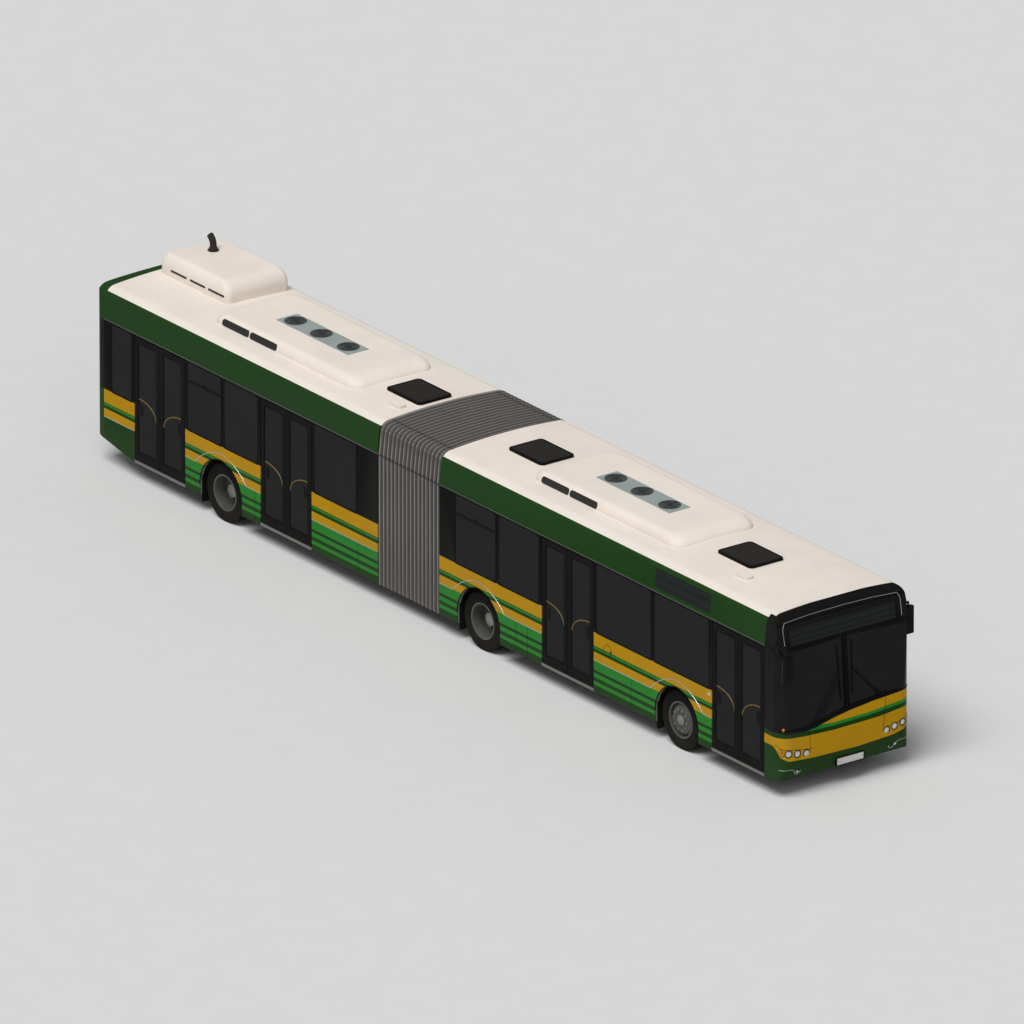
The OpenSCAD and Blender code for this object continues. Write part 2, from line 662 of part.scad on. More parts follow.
module exhaust_pipe() color([0.2, 0.19, 0.17])
    translate([pod_x + pipe_from_pod[0], pod_y[0] + pipe_from_pod[1], roof_h + pod_h + seat_gap]) {
        difference() {
            cylinder(r = pipe_r, h = pipe_rise);
            translate([0, 0, -eps]) cylinder(r = pipe_r - pipe_t, h = pipe_rise + 2 * eps);
        }
        translate([-bend_r, 0, pipe_rise]) rotate([90, 0, 0]) rotate_extrude(angle = bend_angle)
            translate([bend_r, 0]) difference() {
                circle(pipe_r);
                circle(pipe_r - pipe_t);
            }
    }

// Engine in the rear left corner, with the cover that passengers see
engine_low = [x_tail_joint + 120, 250, floor_z];
engine_high = [x_tail_joint + 1050, 1120, 1500];
cover_low = [x_tail_joint + 20, 100, floor_z];
cover_high = [x_tail_joint + 1150, inner_y - 50, 2400];
cover_t = 30;
module engine() color([0.3, 0.3, 0.3]) block(engine_low, engine_high);
module engine_cover() color([0.6, 0.6, 0.6]) difference() {
    block(cover_low, cover_high);
    block([x_tail_joint - eps, cover_low[1] + cover_t, floor_z - eps],
        [cover_high[0] - cover_t, inner_y, cover_high[2] - cover_t]);
}

// Interior: seats stand on the floor in pairs
seat_w = 430;
seat_pitch = 780;
seat_low = 400;
seat_t = 50;
seat_top = 1050;
back_t = 45;
leg_half = 60;
front_row_x = x_axle1 - 1000;
rear_row_x = x_rear_start - 700;
seat_to_wall = 30;
seat_to_seat = 20;
platform_h = 250;
driver_x = x_axle1 + 1400;
driver_y = 720;
module seat(x, y) translate([x, y, floor_z]) {
    block([-200, -leg_half, 0], [200, leg_half, seat_low]);
    block([-220, -seat_w / 2, seat_low], [230, seat_w / 2, seat_low + seat_t]);
    block([-250, -seat_w / 2, seat_low], [-250 + back_t, seat_w / 2, seat_top]);
}
module seat_rows(x_start, n, side) for (i = [0:n - 1], k = [0, 1])
    seat(x_start - i * seat_pitch, side * (inner_y - seat_to_wall - seat_w / 2 - k * (seat_w + seat_to_seat)));
module front_seats() color([0.15, 0.25, 0.4]) {
    seat_rows(front_row_x, 4, 1);
    seat_rows(front_row_x, 1, -1);
    translate([0, 0, platform_h]) seat(driver_x, driver_y);
}
module rear_seats() color([0.15, 0.25, 0.4]) {
    seat_rows(rear_row_x, 4, 1);
    seat_rows(rear_row_x, 1, -1);
}
pole_r = 17;
pole_y = 330;
pole_top = roof_h - wall_t - 80;
rail_r = 15;
rail_z = 1900;
module rails(xs) for (side = [-1, 1]) {
    for (x = xs) translate([x, side * pole_y, floor_z]) cylinder(r = pole_r, h = pole_top - floor_z);
    translate([min(xs), side * pole_y, rail_z]) rotate([0, 90, 0]) cylinder(r = rail_r, h = max(xs) - min(xs));
}
module front_handrails() color([0.85, 0.65, 0.05])
    rails([x_axle1 - 700, x_door2 - door_w - 350, x_door2 - door_w - 1500]);
module rear_handrails() color([0.85, 0.65, 0.05])
    rails([x_rear_start - 350, x_door3 - door_w - 300, x_door4 + 250]);

// Driver's place: platform, partition with a low side wall, and the dashboard
cab_x = x_axle1 + 900;
cab_y = 330;
cab_floor = floor_z + platform_h;
cab_wall_t = 30;
partition_top = 2000;
cab_side_top = 1300;
module driver_cab() color([0.35, 0.36, 0.38]) {
    block([cab_x, cab_y, floor_z], [x_door1, inner_y, cab_floor]);
    block([cab_x, cab_y, cab_floor], [cab_x + cab_wall_t, inner_y - 20, partition_top]);
    block([cab_x, cab_y, cab_floor], [x_door1 - 300, cab_y + cab_wall_t, cab_side_top]);
}
steering_wheel_r = 210;
steering_rim_r = 15;
steering_place = [x_door1 - 150, driver_y, 1130];
steering_tilt = 28;
spoke_half = 18;
column_r = 35;
column_l = 200;
module dashboard() color([0.12, 0.12, 0.13]) {
    along_y(-500, 1150) polygon([[x_door1 - 100, cab_floor + seat_gap], [x_nose - 220, cab_floor + seat_gap],
        [x_nose - 220, 1080], [x_nose - 300, 1120], [x_door1 - 60, 1060], [x_door1 - 120, 980]]);
    translate(steering_place) rotate([0, -steering_tilt, 0]) {
        rotate_extrude() translate([steering_wheel_r, 0]) circle(steering_rim_r);
        block([-steering_wheel_r, -spoke_half, -10], [steering_wheel_r, spoke_half, 10]);
        translate([0, 0, -column_l]) cylinder(r = column_r, h = column_l + 5);
    }
}

// Mirrors: the right one hangs ahead of the nose, the left one stands beside it
module arm(a, b, r) hull() {
    translate(a) sphere(r, $fn = 16);
    translate(b) sphere(r, $fn = 16);
}
head_size = [100, 190];
head_h = 440;
head_corner = 40;
module mirror_head(x, y, low) translate([x, y, low]) linear_extrude(head_h) rounded(head_size, head_corner);
module mirrors() color([0.04, 0.04, 0.045]) {
    mirror_y = half_w + mirror_out - head_size[1] / 2;
    right_x = x_nose + mirror_reach - head_size[0] / 2;
    left_x = x_nose - 280;
    mirror_head(right_x, -mirror_y, 2080);
    mirror_head(left_x, mirror_y, 2100);
    difference() {
        union() {
            arm([x_nose - 330, -half_w + 80, 2680], [right_x, -mirror_y, 2610], 18);
            translate([right_x, -mirror_y, 2500]) cylinder(r = 16, h = 110);
            arm([left_x, half_w - 40, 2620], [left_x, mirror_y, 2610], 18);
            translate([left_x, mirror_y, 2520]) cylinder(r = 16, h = 90);
        }
        nose_form(-seat_gap);
    }
}

front_floor();
front_side_right();
front_side_left();
front_roof();
nose();
windscreen();
front_windows();
destination_signs();
front_ac_unit();
front_seats();
front_handrails();
driver_cab();
dashboard();
mirrors();
front_joint_frame();
front_axle();
middle_axle();
knuckle_left();
knuckle_right();
front_rim_left();
front_rim_right();
front_tyre_left();
front_tyre_right();
middle_rim_left();
middle_rim_right();
middle_tyres_left();
middle_tyres_right();
rear_rim_left();
rear_rim_right();
rear_tyres_left();
rear_tyres_right();
rear_floor();
rear_side_right();
rear_side_left();
rear_roof();
tail();
rear_windows();
rear_ac_unit();
intake_pod();
exhaust_pipe();
rear_seats();
rear_handrails();
engine();
engine_cover();
rear_joint_frame();
rear_axle();
bellows();
front_hatch();
middle_hatch();
rear_hatch();
engine_flap();
door1_front_leaf();
door1_rear_leaf();
door2_front_leaf();
door2_rear_leaf();
door3_front_leaf();
door3_rear_leaf();
door4_front_leaf();
door4_rear_leaf();
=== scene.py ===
"""Looks of the articulated city bus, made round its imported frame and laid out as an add-on.

Lengths are metres in the row frame: the road is z = 0, the bus drives towards +X and its left is +Y.
"""
import math

import bmesh
import bpy
import numpy as np
from bpy.props import FloatProperty, FloatVectorProperty, IntProperty, PointerProperty
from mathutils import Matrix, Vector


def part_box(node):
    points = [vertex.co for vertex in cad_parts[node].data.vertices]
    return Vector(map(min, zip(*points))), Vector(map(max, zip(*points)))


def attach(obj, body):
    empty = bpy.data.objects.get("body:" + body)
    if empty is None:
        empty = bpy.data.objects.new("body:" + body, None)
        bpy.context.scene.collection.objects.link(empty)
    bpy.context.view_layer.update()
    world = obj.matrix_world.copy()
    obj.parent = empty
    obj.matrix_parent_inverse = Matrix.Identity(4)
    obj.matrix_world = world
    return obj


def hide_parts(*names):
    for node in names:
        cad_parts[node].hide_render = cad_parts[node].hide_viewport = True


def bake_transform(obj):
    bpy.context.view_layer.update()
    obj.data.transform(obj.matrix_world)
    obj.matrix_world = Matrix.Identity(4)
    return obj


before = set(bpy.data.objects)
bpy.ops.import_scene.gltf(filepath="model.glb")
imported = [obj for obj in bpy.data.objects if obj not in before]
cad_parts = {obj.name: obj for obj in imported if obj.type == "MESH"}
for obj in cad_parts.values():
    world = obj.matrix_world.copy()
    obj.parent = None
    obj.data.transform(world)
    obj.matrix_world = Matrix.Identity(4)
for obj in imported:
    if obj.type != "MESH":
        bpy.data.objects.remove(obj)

bl_info = {
    "name": "Articulated city bus looks",
    "version": (1, 0, 0),
    "blender": (4, 5, 0),
    "location": "3D View > Sidebar > City bus",
    "description": "Livery, doors, wheels, bellows, fittings and studio of a low-floor articulated city bus",
    "category": "Object",
}


def ends(node):
    """Lowest and highest corner of a CAD node, as two arrays."""
    low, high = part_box(node)
    return np.array(low), np.array(high)


# Stations read from the frame
X_NOSE = ends("nose")[1][0]
X_TAIL = ends("tail")[0][0]
X_TAIL_JOINT = ends("tail")[1][0]
X_FRONT_END, X_REAR_START = ends("bellows")[1][0], ends("bellows")[0][0]
HALF_W = ends("front_side_left")[1][1]
SKIRT_Z = ends("front_side_left")[0][2]
ROOF_Z = ends("bellows")[1][2]
AC_TOP = ends("front_ac_unit")[1][2]
POD_TOP = ends("intake_pod")[1][2]
HATCH_TOP = ends("front_hatch")[1][2]
GLASS_LOW, GLASS_HIGH = ends("front_windows")[0][2], ends("front_windows")[1][2]
AXLE_X = [sum(ends(f"{w}_right"))[0] / 2 for w in ("front_tyre", "middle_tyres", "rear_tyres")]
WHEEL_R = (ends("front_tyre_left")[1][2] - ends("front_tyre_left")[0][2]) / 2
TYRE_OUT = ends("front_tyre_left")[1][1]
TYRE_W = TYRE_OUT - ends("front_tyre_left")[0][1]
TWIN_PITCH = TYRE_OUT - ends("middle_tyres_left")[0][1] - TYRE_W
DOOR_GAP = 0.014
DOOR_LOW, DOOR_HIGH = 0.35, 2.436
DOOR_REAR = [ends(f"door{i}_rear_leaf")[0][0] - DOOR_GAP for i in (1, 2, 3, 4)]
DOOR_FRONT = [ends(f"door{i}_front_leaf")[1][0] + DOOR_GAP for i in (1, 2, 3, 4)]
HATCHES = {n: sum(ends(n)) / 2 for n in ("front_hatch", "middle_hatch", "rear_hatch")}
PILLAR = 0.056
ARCH_R = 0.56
CROWN_RISE = 0.063
EDGE_Y = 1.225
LEAN_Z = 2.47
# Window runs: rear end, front end and number of panes
RIGHT_FRONT = [(X_FRONT_END + 0.41, DOOR_REAR[1] - PILLAR, 2), (DOOR_FRONT[1] + PILLAR, DOOR_REAR[0] - PILLAR, 2)]
RIGHT_REAR = [(X_TAIL_JOINT + 0.2, DOOR_REAR[3] - PILLAR, 1), (DOOR_FRONT[3] + PILLAR, DOOR_REAR[2] - PILLAR, 2),
              (DOOR_FRONT[2] + PILLAR, X_REAR_START - 0.54, 1)]
LEFT_FRONT = [(X_FRONT_END + 0.41, AXLE_X[0] + 1.0, 5), (AXLE_X[0] + 1.0 + 2 * PILLAR, DOOR_FRONT[0] - PILLAR, 1)]
LEFT_REAR = [(AXLE_X[2] - 2.0, X_REAR_START - 0.41, 4)]


def colour(label, tint, about):
    """A colour property with its name, default and description."""
    return FloatVectorProperty(name=label, subtype="COLOR", size=3, min=0, max=1, default=tint, description=about)


def length(label, size, about):
    """A length property in metres."""
    return FloatProperty(name=label, unit="LENGTH", subtype="DISTANCE", min=0, default=size, description=about)


class BusColours(bpy.types.PropertyGroup):
    dark_green: colour("Dark green", (0.0045, 0.042, 0.0018), "Cantrail, bumper and dark stripes")
    light_green: colour("Light green", (0.018, 0.205, 0.022), "Light stripes of the skirt")
    yellow: colour("Yellow", (0.47, 0.25, 0.0025), "Waist band")
    roof: colour("Roof white", (0.82, 0.74, 0.66), "Roof skin, roof units and vents")
    band: colour("Window band", (0.0015, 0.0016, 0.0018), "Gloss black round windows and doors")
    # Glass: the panes' own tint together with painted shade, as the opaque panes stand for the dim inside seen through
    # them
    glass: colour("Glass", (0.0095, 0.0102, 0.0102), "Dark tinted panes")
    trim: colour("Bright trim", (0.55, 0.55, 0.52), "Thin metal strips and rings")
    bellows: colour("Bellows", (0.075, 0.068, 0.063), "Coated cloth of the bellows")
    pleat_edge: colour("Pleat edge", (0.26, 0.24, 0.22), "Light binding on the crest of each pleat")
    fan_panel: colour("Fan panel", (0.31, 0.36, 0.34), "Grey-green plate under the roof fans")
    hatch: colour("Roof hatch", (0.024, 0.021, 0.018), "Moulded lids of the roof hatches")
    cloth: colour("Seat cloth", (0.03, 0.09, 0.22), "Ground colour of the seat moquette")
    rail: colour("Grab rail", (0.75, 0.45, 0.02), "Powder-coated rails")
    lining: colour("Wall lining", (0.22, 0.22, 0.21), "Panels of the walls towards the passengers")
    rim: colour("Wheel rim", (0.085, 0.087, 0.082), "Painted steel wheels")


class BusSizes(bpy.types.PropertyGroup):
    pleats: IntProperty(name="Pleats", default=16, min=8, max=24, description="Folds along the bellows")
    pleat_depth: length("Pleat depth", 0.048, "Height of a pleat from valley to crest")
    trim_w: length("Trim width", 0.013, "Width of the bright strips on the skirt")
    gasket_w: length("Gasket width", 0.020, "Visible rubber round each pane")
    rail_r: length("Door rail radius", 0.011, "Radius of the curved grab rail on a door leaf")
    tread_depth: length("Tread depth", 0.011, "Depth of the grooves in the tyres")
    wiper_w: length("Wiper blade width", 0.022, "Width of a windscreen wiper blade")


class BusStudio(bpy.types.PropertyGroup):
    azimuth: FloatProperty(name="Azimuth", subtype="ANGLE", default=math.radians(53.29), description="Camera azimuth")
    elevation: FloatProperty(name="Elevation", subtype="ANGLE", default=math.radians(21.64),
                             description="Camera height above the horizon")
    view_w: length("View width", 15.974, "Width of what the camera sees at the bus")
    focal: FloatProperty(name="Focal length", default=1400, min=100, max=1500, description="Long lens, in millimetres")
    key: FloatProperty(name="Key light", default=2.4, min=0, description="Strength of the soft overhead light")
    fill: FloatProperty(name="Fill light", default=0.45, min=0, description="Strength of the light from the front right")
    sky: FloatProperty(name="Room light", default=0.25, min=0, description="Strength of the even light of the room")


# Shapes: every shell is a grid of rings, closed round each ring

def joined(rings, wrap):
    """Quads between neighbouring rings; with wrap the last ring joins the first, else both ends are capped."""
    rows, cols = rings.shape[:2]
    index = np.arange(rows * cols).reshape(rows, cols)
    nxt = np.roll(index, -1, axis=1)
    low, high = (index, np.roll(index, -1, axis=0)) if wrap else (index[:-1], index[1:])
    low_next, high_next = (nxt, np.roll(nxt, -1, axis=0)) if wrap else (nxt[:-1], nxt[1:])
    quads = np.stack([low, low_next, high_next, high], axis=-1).reshape(-1, 4).tolist()
    if not wrap:
        quads += [index[0][::-1].tolist(), index[-1].tolist()]
    return quads


class Shells:
    """Gathers the closed shells of one piece, each with the number of its material."""

    def __init__(self):
        self.points, self.faces, self.paints, self.count = [], [], [], 0

    def add(self, rings, wrap=False, paint=0):
        rings = np.asarray(rings, float)
        self.faces += [[i + self.count for i in face] for face in joined(rings, wrap)]
        self.paints += [paint] * (len(self.faces) - len(self.paints))
        self.points.append(rings.reshape(-1, 3))
        self.count += len(self.points[-1])
        return self


def piece(name, shells, body, materials, replaces=(), sharp=32, values=None):
    """Puts the shells in a mesh at the origin, turns its faces outwards and hands it to its body."""
    mesh = bpy.data.meshes.new(name)
    mesh.from_pydata(np.concatenate(shells.points).tolist(), [], shells.faces)
    mesh.polygons.foreach_set("material_index", shells.paints)
    for material in materials:
        mesh.materials.append(material)
    if values is not None:
        mesh.attributes.new("crest", "FLOAT", "POINT").data.foreach_set("value", values.astype(np.float32))
    work = bmesh.new()
    work.from_mesh(mesh)
    bmesh.ops.recalc_face_normals(work, faces=work.faces)
    work.to_mesh(mesh)
    work.free()
    mesh.shade_smooth()
    mesh.set_sharp_from_angle(angle=math.radians(sharp))
    made = bpy.data.objects.new(name, mesh)
    bpy.context.scene.collection.objects.link(made)
    if body:
        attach(made, body)
    if replaces:
        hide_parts(*replaces)
    return made


def plane(origin, along, up):
    """Maps (a, b, n) to origin + a along + b up + n times their cross product."""
    along, up = np.array(along, float), np.array(up, float)
    out = np.cross(along, up)

    def place(a, b, n):
        a, b, n = np.broadcast_arrays(a, b, n)
        return np.array(origin) + a[..., None] * along + b[..., None] * up + n[..., None] * out
    return place


def side_plane(side):
    """Side wall's face: a is X on the right and -X on the left, b is Z, n points out of the bus."""
    return plane((0, side * HALF_W, 0), (-side, 0, 0), (0, 0, 1))


TOP = plane((0, 0, 0), (1, 0, 0), (0, 1, 0))
FRONT = plane((0, 0, 0), (0, 1, 0), (0, 0, 1))
BACK = plane((0, 0, 0), (0, -1, 0), (0, 0, 1))


def round_rect(a0, a1, b0, b1, radius, steps=5):
    """Rectangle whose corners are quarter circles, as (a, b) points anticlockwise."""
    turn = np.linspace(0, math.pi / 2, steps)
    centres = [(a1 - radius, b1 - radius, 0), (a0 + radius, b1 - radius, 1),
               (a0 + radius, b0 + radius, 2), (a1 - radius, b0 + radius, 3)]
    corners = [np.stack([a + radius * np.cos(turn + q * math.pi / 2), b + radius * np.sin(turn + q * math.pi / 2)], 1)
               for a, b, q in centres]
    return np.concatenate(corners)


def disc(a, b, radius, sides=24):
    """Circle of points round (a, b)."""
    turn = np.linspace(0, 2 * math.pi, sides, endpoint=False)
    return np.stack([a + radius * np.cos(turn), b + radius * np.sin(turn)], 1)


def shrunk(outline, by):
    """Outline moved inwards along the mean normal of its two sides at each point."""
    side = np.roll(outline, -1, axis=0) - np.roll(outline, 1, axis=0)
    normal = np.stack([-side[:, 1], side[:, 0]], 1)
    return outline + by * normal / np.maximum(np.linalg.norm(normal, axis=1, keepdims=True), 1e-9)


def slab(place, outline, low, high, bevel=0.002):
    """Plate with an outline, its two rims bevelled: four rings, inset, full, full, inset."""
    inner = shrunk(outline, bevel)
    levels = [(inner, low), (outline, low + bevel), (outline, high - bevel), (inner, high)]
    return np.stack([place(o[:, 0], o[:, 1], n) for o, n in levels])


def hoop(place, outer, inner, low, high, bevel=0.002):
    """Flat ring between two outlines of as many points, its section a bevelled rectangle."""
    levels = [(outer, low + bevel), (shrunk(outer, bevel), low), (shrunk(inner, -bevel), low), (inner, low + bevel),
              (inner, high - bevel), (shrunk(inner, -bevel), high), (shrunk(outer, bevel), high),
              (outer, high - bevel)]
    return np.stack([place(o[:, 0], o[:, 1], n) for o, n in levels])


def turned(place, profile, centre=(0, 0), sides=32):
    """Profile of (radius, height) turned round the normal at a centre."""
    ring = disc(0, 0, 1.0, sides)
    return np.stack([place(centre[0] + r * ring[:, 0], centre[1] + r * ring[:, 1], n) for r, n in profile])


def tube(path, radius, sides=10, flat=1.0):
    """Circle, or an ellipse by flat, carried along a path and kept square to it."""
    path = np.asarray(path, float)
    ahead = np.gradient(path, axis=0)
    ahead /= np.linalg.norm(ahead, axis=1, keepdims=True)
    ref = np.array([0, 0, 1.0]) if abs(ahead[:, 2]).mean() < 0.8 else np.array([1.0, 0, 0])
    across = np.cross(ahead, ref)
    across /= np.linalg.norm(across, axis=1, keepdims=True)
    up = np.cross(across, ahead)
    turn = np.linspace(0, 2 * math.pi, sides, endpoint=False)[None, :, None]
    size = np.broadcast_to(np.asarray(radius, float), (len(path),))[:, None, None]
    return path[:, None] + size * (flat * np.cos(turn) * across[:, None] + np.sin(turn) * up[:, None])


def rounded_path(points, steps=6, reach=0.3):
    """Path whose inner corners are quadratic curves over a share of each leg."""
    points = [np.array(p, float) for p in points]
    out = [points[0]]
    t = np.linspace(0, 1, steps)[:, None]
    for before, at, after in zip(points, points[1:], points[2:]):
        start, end = at + reach * (before - at), at + reach * (after - at)
        out += list((1 - t) ** 2 * start + 2 * t * (1 - t) * at + t ** 2 * end)
    return np.array(out + [points[-1]])


def body_side(inset, steps=14):
    """Half outline (y, z) of the body from the skirt up to the middle of the roof: a straight side, a wall
    that leans in, a round shoulder and a parabolic crown. inset moves every point inwards."""
    corner = np.array([EDGE_Y, ROOF_Z - CROWN_RISE])
    wall = np.array([HALF_W - EDGE_Y, LEAN_Z - corner[1]])
    wall /= np.linalg.norm(wall)
    crown = np.array([-EDGE_Y, 2 * CROWN_RISE])
    crown /= np.linalg.norm(crown)
    t = np.linspace(0, 1, steps)[:, None]
    reach = 0.16
    shoulder = (1 - t) ** 2 * (corner + reach * wall) + 2 * t * (1 - t) * corner + t ** 2 * (corner + reach * crown)
    y = np.linspace(EDGE_Y - reach - 0.03, 0, steps)
    top = np.stack([y, ROOF_Z - CROWN_RISE * (y / EDGE_Y) ** 2], 1)
    z = np.linspace(SKIRT_Z, LEAN_Z, 2 * steps)
    line = np.concatenate([np.stack([np.full_like(z, HALF_W), z], 1), shoulder, top])
    ahead = np.gradient(line, axis=0)
    normal = np.stack([-ahead[:, 1], ahead[:, 0]], 1)
    return line + inset * normal / np.linalg.norm(normal, axis=1, keepdims=True)


def body_arch(inset):
    """Whole outline (y, z) from the right skirt over the roof to the left skirt."""
    half = body_side(inset)
    return np.concatenate([half * (-1, 1), half[-2::-1]])


def roof_z(y):
    """Height of the crowned roof at a distance from its middle."""
    return ROOF_Z - CROWN_RISE * (np.asarray(y) / EDGE_Y) ** 2


def nose_x(y, z):
    """Face of the nose: the lower of its plan outline, a bow with round corners, and its raked side profile."""
    y, z = np.abs(np.asarray(y, float)), np.asarray(z, float)
    corner, radius = HALF_W - 0.23, 0.23
    bow = X_NOSE - 0.04 * (np.minimum(y, corner) / HALF_W) ** 2
    plan = bow - radius + np.sqrt(np.maximum(radius ** 2 - np.maximum(y - corner, 0) ** 2, 0))
    heights = [0.29, 0.45, 0.6, 0.78, 0.95, 1.12, 1.3, 2.45, 2.62, 2.85, 2.95, 3.0]
    back = [0.135, 0.074, 0.027, 0.010, 0.002, 0.010, 0.025, 0.115, 0.147, 0.193, 0.245, 0.30]
    return np.minimum(plan, X_NOSE - np.interp(z, heights, back))


def on_nose(y, z, out):
    """Points of the nose's face at (y, z), moved out along its normal."""
    y, z = np.broadcast_arrays(np.asarray(y, float), np.asarray(z, float))
    step = 0.004
    slope_y = (nose_x(y + step, z) - nose_x(y - step, z)) / (2 * step)
    slope_z = (nose_x(y, z + step) - nose_x(y, z - step)) / (2 * step)
    normal = np.stack([np.ones_like(y), -slope_y, -slope_z], -1)
    normal /= np.linalg.norm(normal, axis=-1, keepdims=True)
    return np.stack([nose_x(y, z), y, z], -1) + np.asarray(out)[..., None] * normal


def nose_place(y, z):
    """Plane that touches the nose at (y, z)."""
    here = on_nose(y, z, 0.0)
    out = on_nose(y, z, 1.0) - here
    across = np.cross((0, 0, 1.0), out)
    across /= np.linalg.norm(across)
    return plane(here, across, np.cross(out, across))


# Materials

def put(tree, kind, fills=None, **settings):
    """A node with its settings made and its inputs linked or filled by name or number."""
    made = tree.nodes.new(kind)
    for key, value in settings.items():
        setattr(made, key, value)
    for key, value in (fills or {}).items():
        if isinstance(value, bpy.types.NodeSocket):
            tree.links.new(value, made.inputs[key])
        else:
            made.inputs[key].default_value = value
    return made


def calc(tree, operation, a, b=0.5, c=0.0):
    """Result of one Math node."""
    return put(tree, "ShaderNodeMath", {0: a, 1: b, 2: c}, operation=operation).outputs[0]


def ramp_mask(tree, value, low, high):
    """Mask that goes from 0 at low to 1 at high."""
    fills = {"Value": value, "From Min": low, "From Max": high}
    return put(tree, "ShaderNodeMapRange", fills, interpolation_type="SMOOTHSTEP").outputs["Result"]


def mixed(tree, factor, a, b):
    """Colour a where the factor is 0 and b where it is 1."""
    return put(tree, "ShaderNodeMix", {0: factor, 6: a, 7: b}, data_type="RGBA").outputs[2]


def noise(tree, vector, scale, detail=3.0, rough=0.55):
    """Fractal noise of that scale, in waves per metre."""
    return put(tree, "ShaderNodeTexNoise", {"Vector": vector, "Scale": scale, "Detail": detail,
                                            "Roughness": rough}).outputs["Fac"]


def stretched(tree, vector, scale):
    """Coordinates scaled along each axis."""
    return put(tree, "ShaderNodeVectorMath", {0: vector, 1: scale}, operation="MULTIPLY").outputs[0]


def object_place(tree):
    """Object coordinates, whole and split into x, y and z."""
    where = put(tree, "ShaderNodeTexCoord").outputs["Object"]
    split = put(tree, "ShaderNodeSeparateXYZ", {0: where})
    return where, split.outputs[0], split.outputs[1], split.outputs[2]


def bands(tree, height, top, stops):
    """Colour by height: each stop is where its colour begins, up to top."""
    made = put(tree, "ShaderNodeValToRGB", {0: calc(tree, "DIVIDE", height, top)})
    made.color_ramp.interpolation = "CONSTANT"
    elements = made.color_ramp.elements
    elements.remove(elements[1])
    elements[0].position, elements[0].color = 0, (*stops[0][1], 1)
    for start, tint in stops[1:]:
        elements.new(start / top).color = (*tint, 1)
    return made.outputs[0]


def curve_of(tree, across, points):
    """Height of a line drawn over Y, straight between its points (y, z)."""
    share = calc(tree, "MULTIPLY_ADD", across, 0.5 / HALF_W, 0.5)
    made = put(tree, "ShaderNodeFloatCurve", {"Value": share})
    curve = made.mapping.curves[0]
    scaled = [(0.5 + y / (2 * HALF_W), z / 2) for y, z in points]
    curve.points[0].location, curve.points[1].location = scaled[0], scaled[-1]
    for point in scaled[1:-1]:
        curve.points.new(*point)
    for point in curve.points:
        point.handle_type = "VECTOR"
    made.mapping.update()
    return calc(tree, "MULTIPLY", made.outputs[0], 2.0)


def effect(name, sockets, results):
    """New node group with named inputs and outputs; returns its tree and the sockets to read."""
    tree = bpy.data.node_groups.new(name, "ShaderNodeTree")
    kinds = {"c": "NodeSocketColor", "f": "NodeSocketFloat", "v": "NodeSocketVector"}
    for label, kind, value in sockets:
        tree.interface.new_socket(label, in_out="INPUT", socket_type=kinds[kind]).default_value = value
    for label, kind in results:
        tree.interface.new_socket(label, in_out="OUTPUT", socket_type=kinds[kind])
    return tree, tree.nodes.new("NodeGroupInput"), tree.nodes.new("NodeGroupOutput")


def road_wear():
    """Group for anything that lives outdoors: mottled colour, dust that thickens towards the road, rain streaks,
    edges rubbed lighter and a fine grain for the bump."""
    known = bpy.data.node_groups.get("road_wear")
    if known:
        return known
    tree, give, take = effect("road_wear", [
        ("Base", "c", (0.5, 0.5, 0.5, 1)), ("Roughness", "f", 0.4), ("Grain", "f", 200.0), ("Grain depth", "f", 0.0005),
        ("Dust", "f", 0.3), ("Mottle", "f", 0.1), ("Edge", "f", 0.2)], [("Color", "c"), ("Roughness", "f"), ("Normal", "v")])
    where, _, _, z = object_place(tree)
    fine = noise(tree, where, give.outputs["Grain"], 2.0)
    broad = noise(tree, where, 1.7, 5.0)
    streak = noise(tree, stretched(tree, where, (9.0, 9.0, 0.7)), 1.6, 4.0)
    low = calc(tree, "SUBTRACT", 1.0, ramp_mask(tree, z, 0.1, 1.1))
    soil = calc(tree, "MULTIPLY", calc(tree, "MULTIPLY_ADD", low, 0.75, 0.14), calc(tree, "ADD", broad, streak))
    mask = calc(tree, "MULTIPLY", soil, give.outputs["Dust"])
    shade = calc(tree, "MULTIPLY", ramp_mask(tree, broad, 0.3, 0.75), give.outputs["Mottle"])
    base = mixed(tree, shade, give.outputs["Base"], (0.02, 0.02, 0.018, 1))
    rim = ramp_mask(tree, put(tree, "ShaderNodeNewGeometry").outputs["Pointiness"], 0.52, 0.62)
    rubbed = calc(tree, "MULTIPLY", calc(tree, "MULTIPLY", rim, give.outputs["Edge"]), ramp_mask(tree, fine, 0.35, 0.6))
    base = mixed(tree, rubbed, base, (0.42, 0.41, 0.38, 1))
    tree.links.new(mixed(tree, mask, base, (0.17, 0.145, 0.11, 1)), take.inputs["Color"])
    rough = calc(tree, "ADD", give.outputs["Roughness"], calc(tree, "MULTIPLY", mask, 0.5))
    rough = calc(tree, "ADD", rough, calc(tree, "MULTIPLY_ADD", fine, 0.12, -0.06))
    tree.links.new(rough, take.inputs["Roughness"])
    bump = put(tree, "ShaderNodeBump", {"Height": fine, "Distance": give.outputs["Grain depth"],
                                             "Strength": 0.12})
    tree.links.new(bump.outputs[0], take.inputs["Normal"])
    return tree


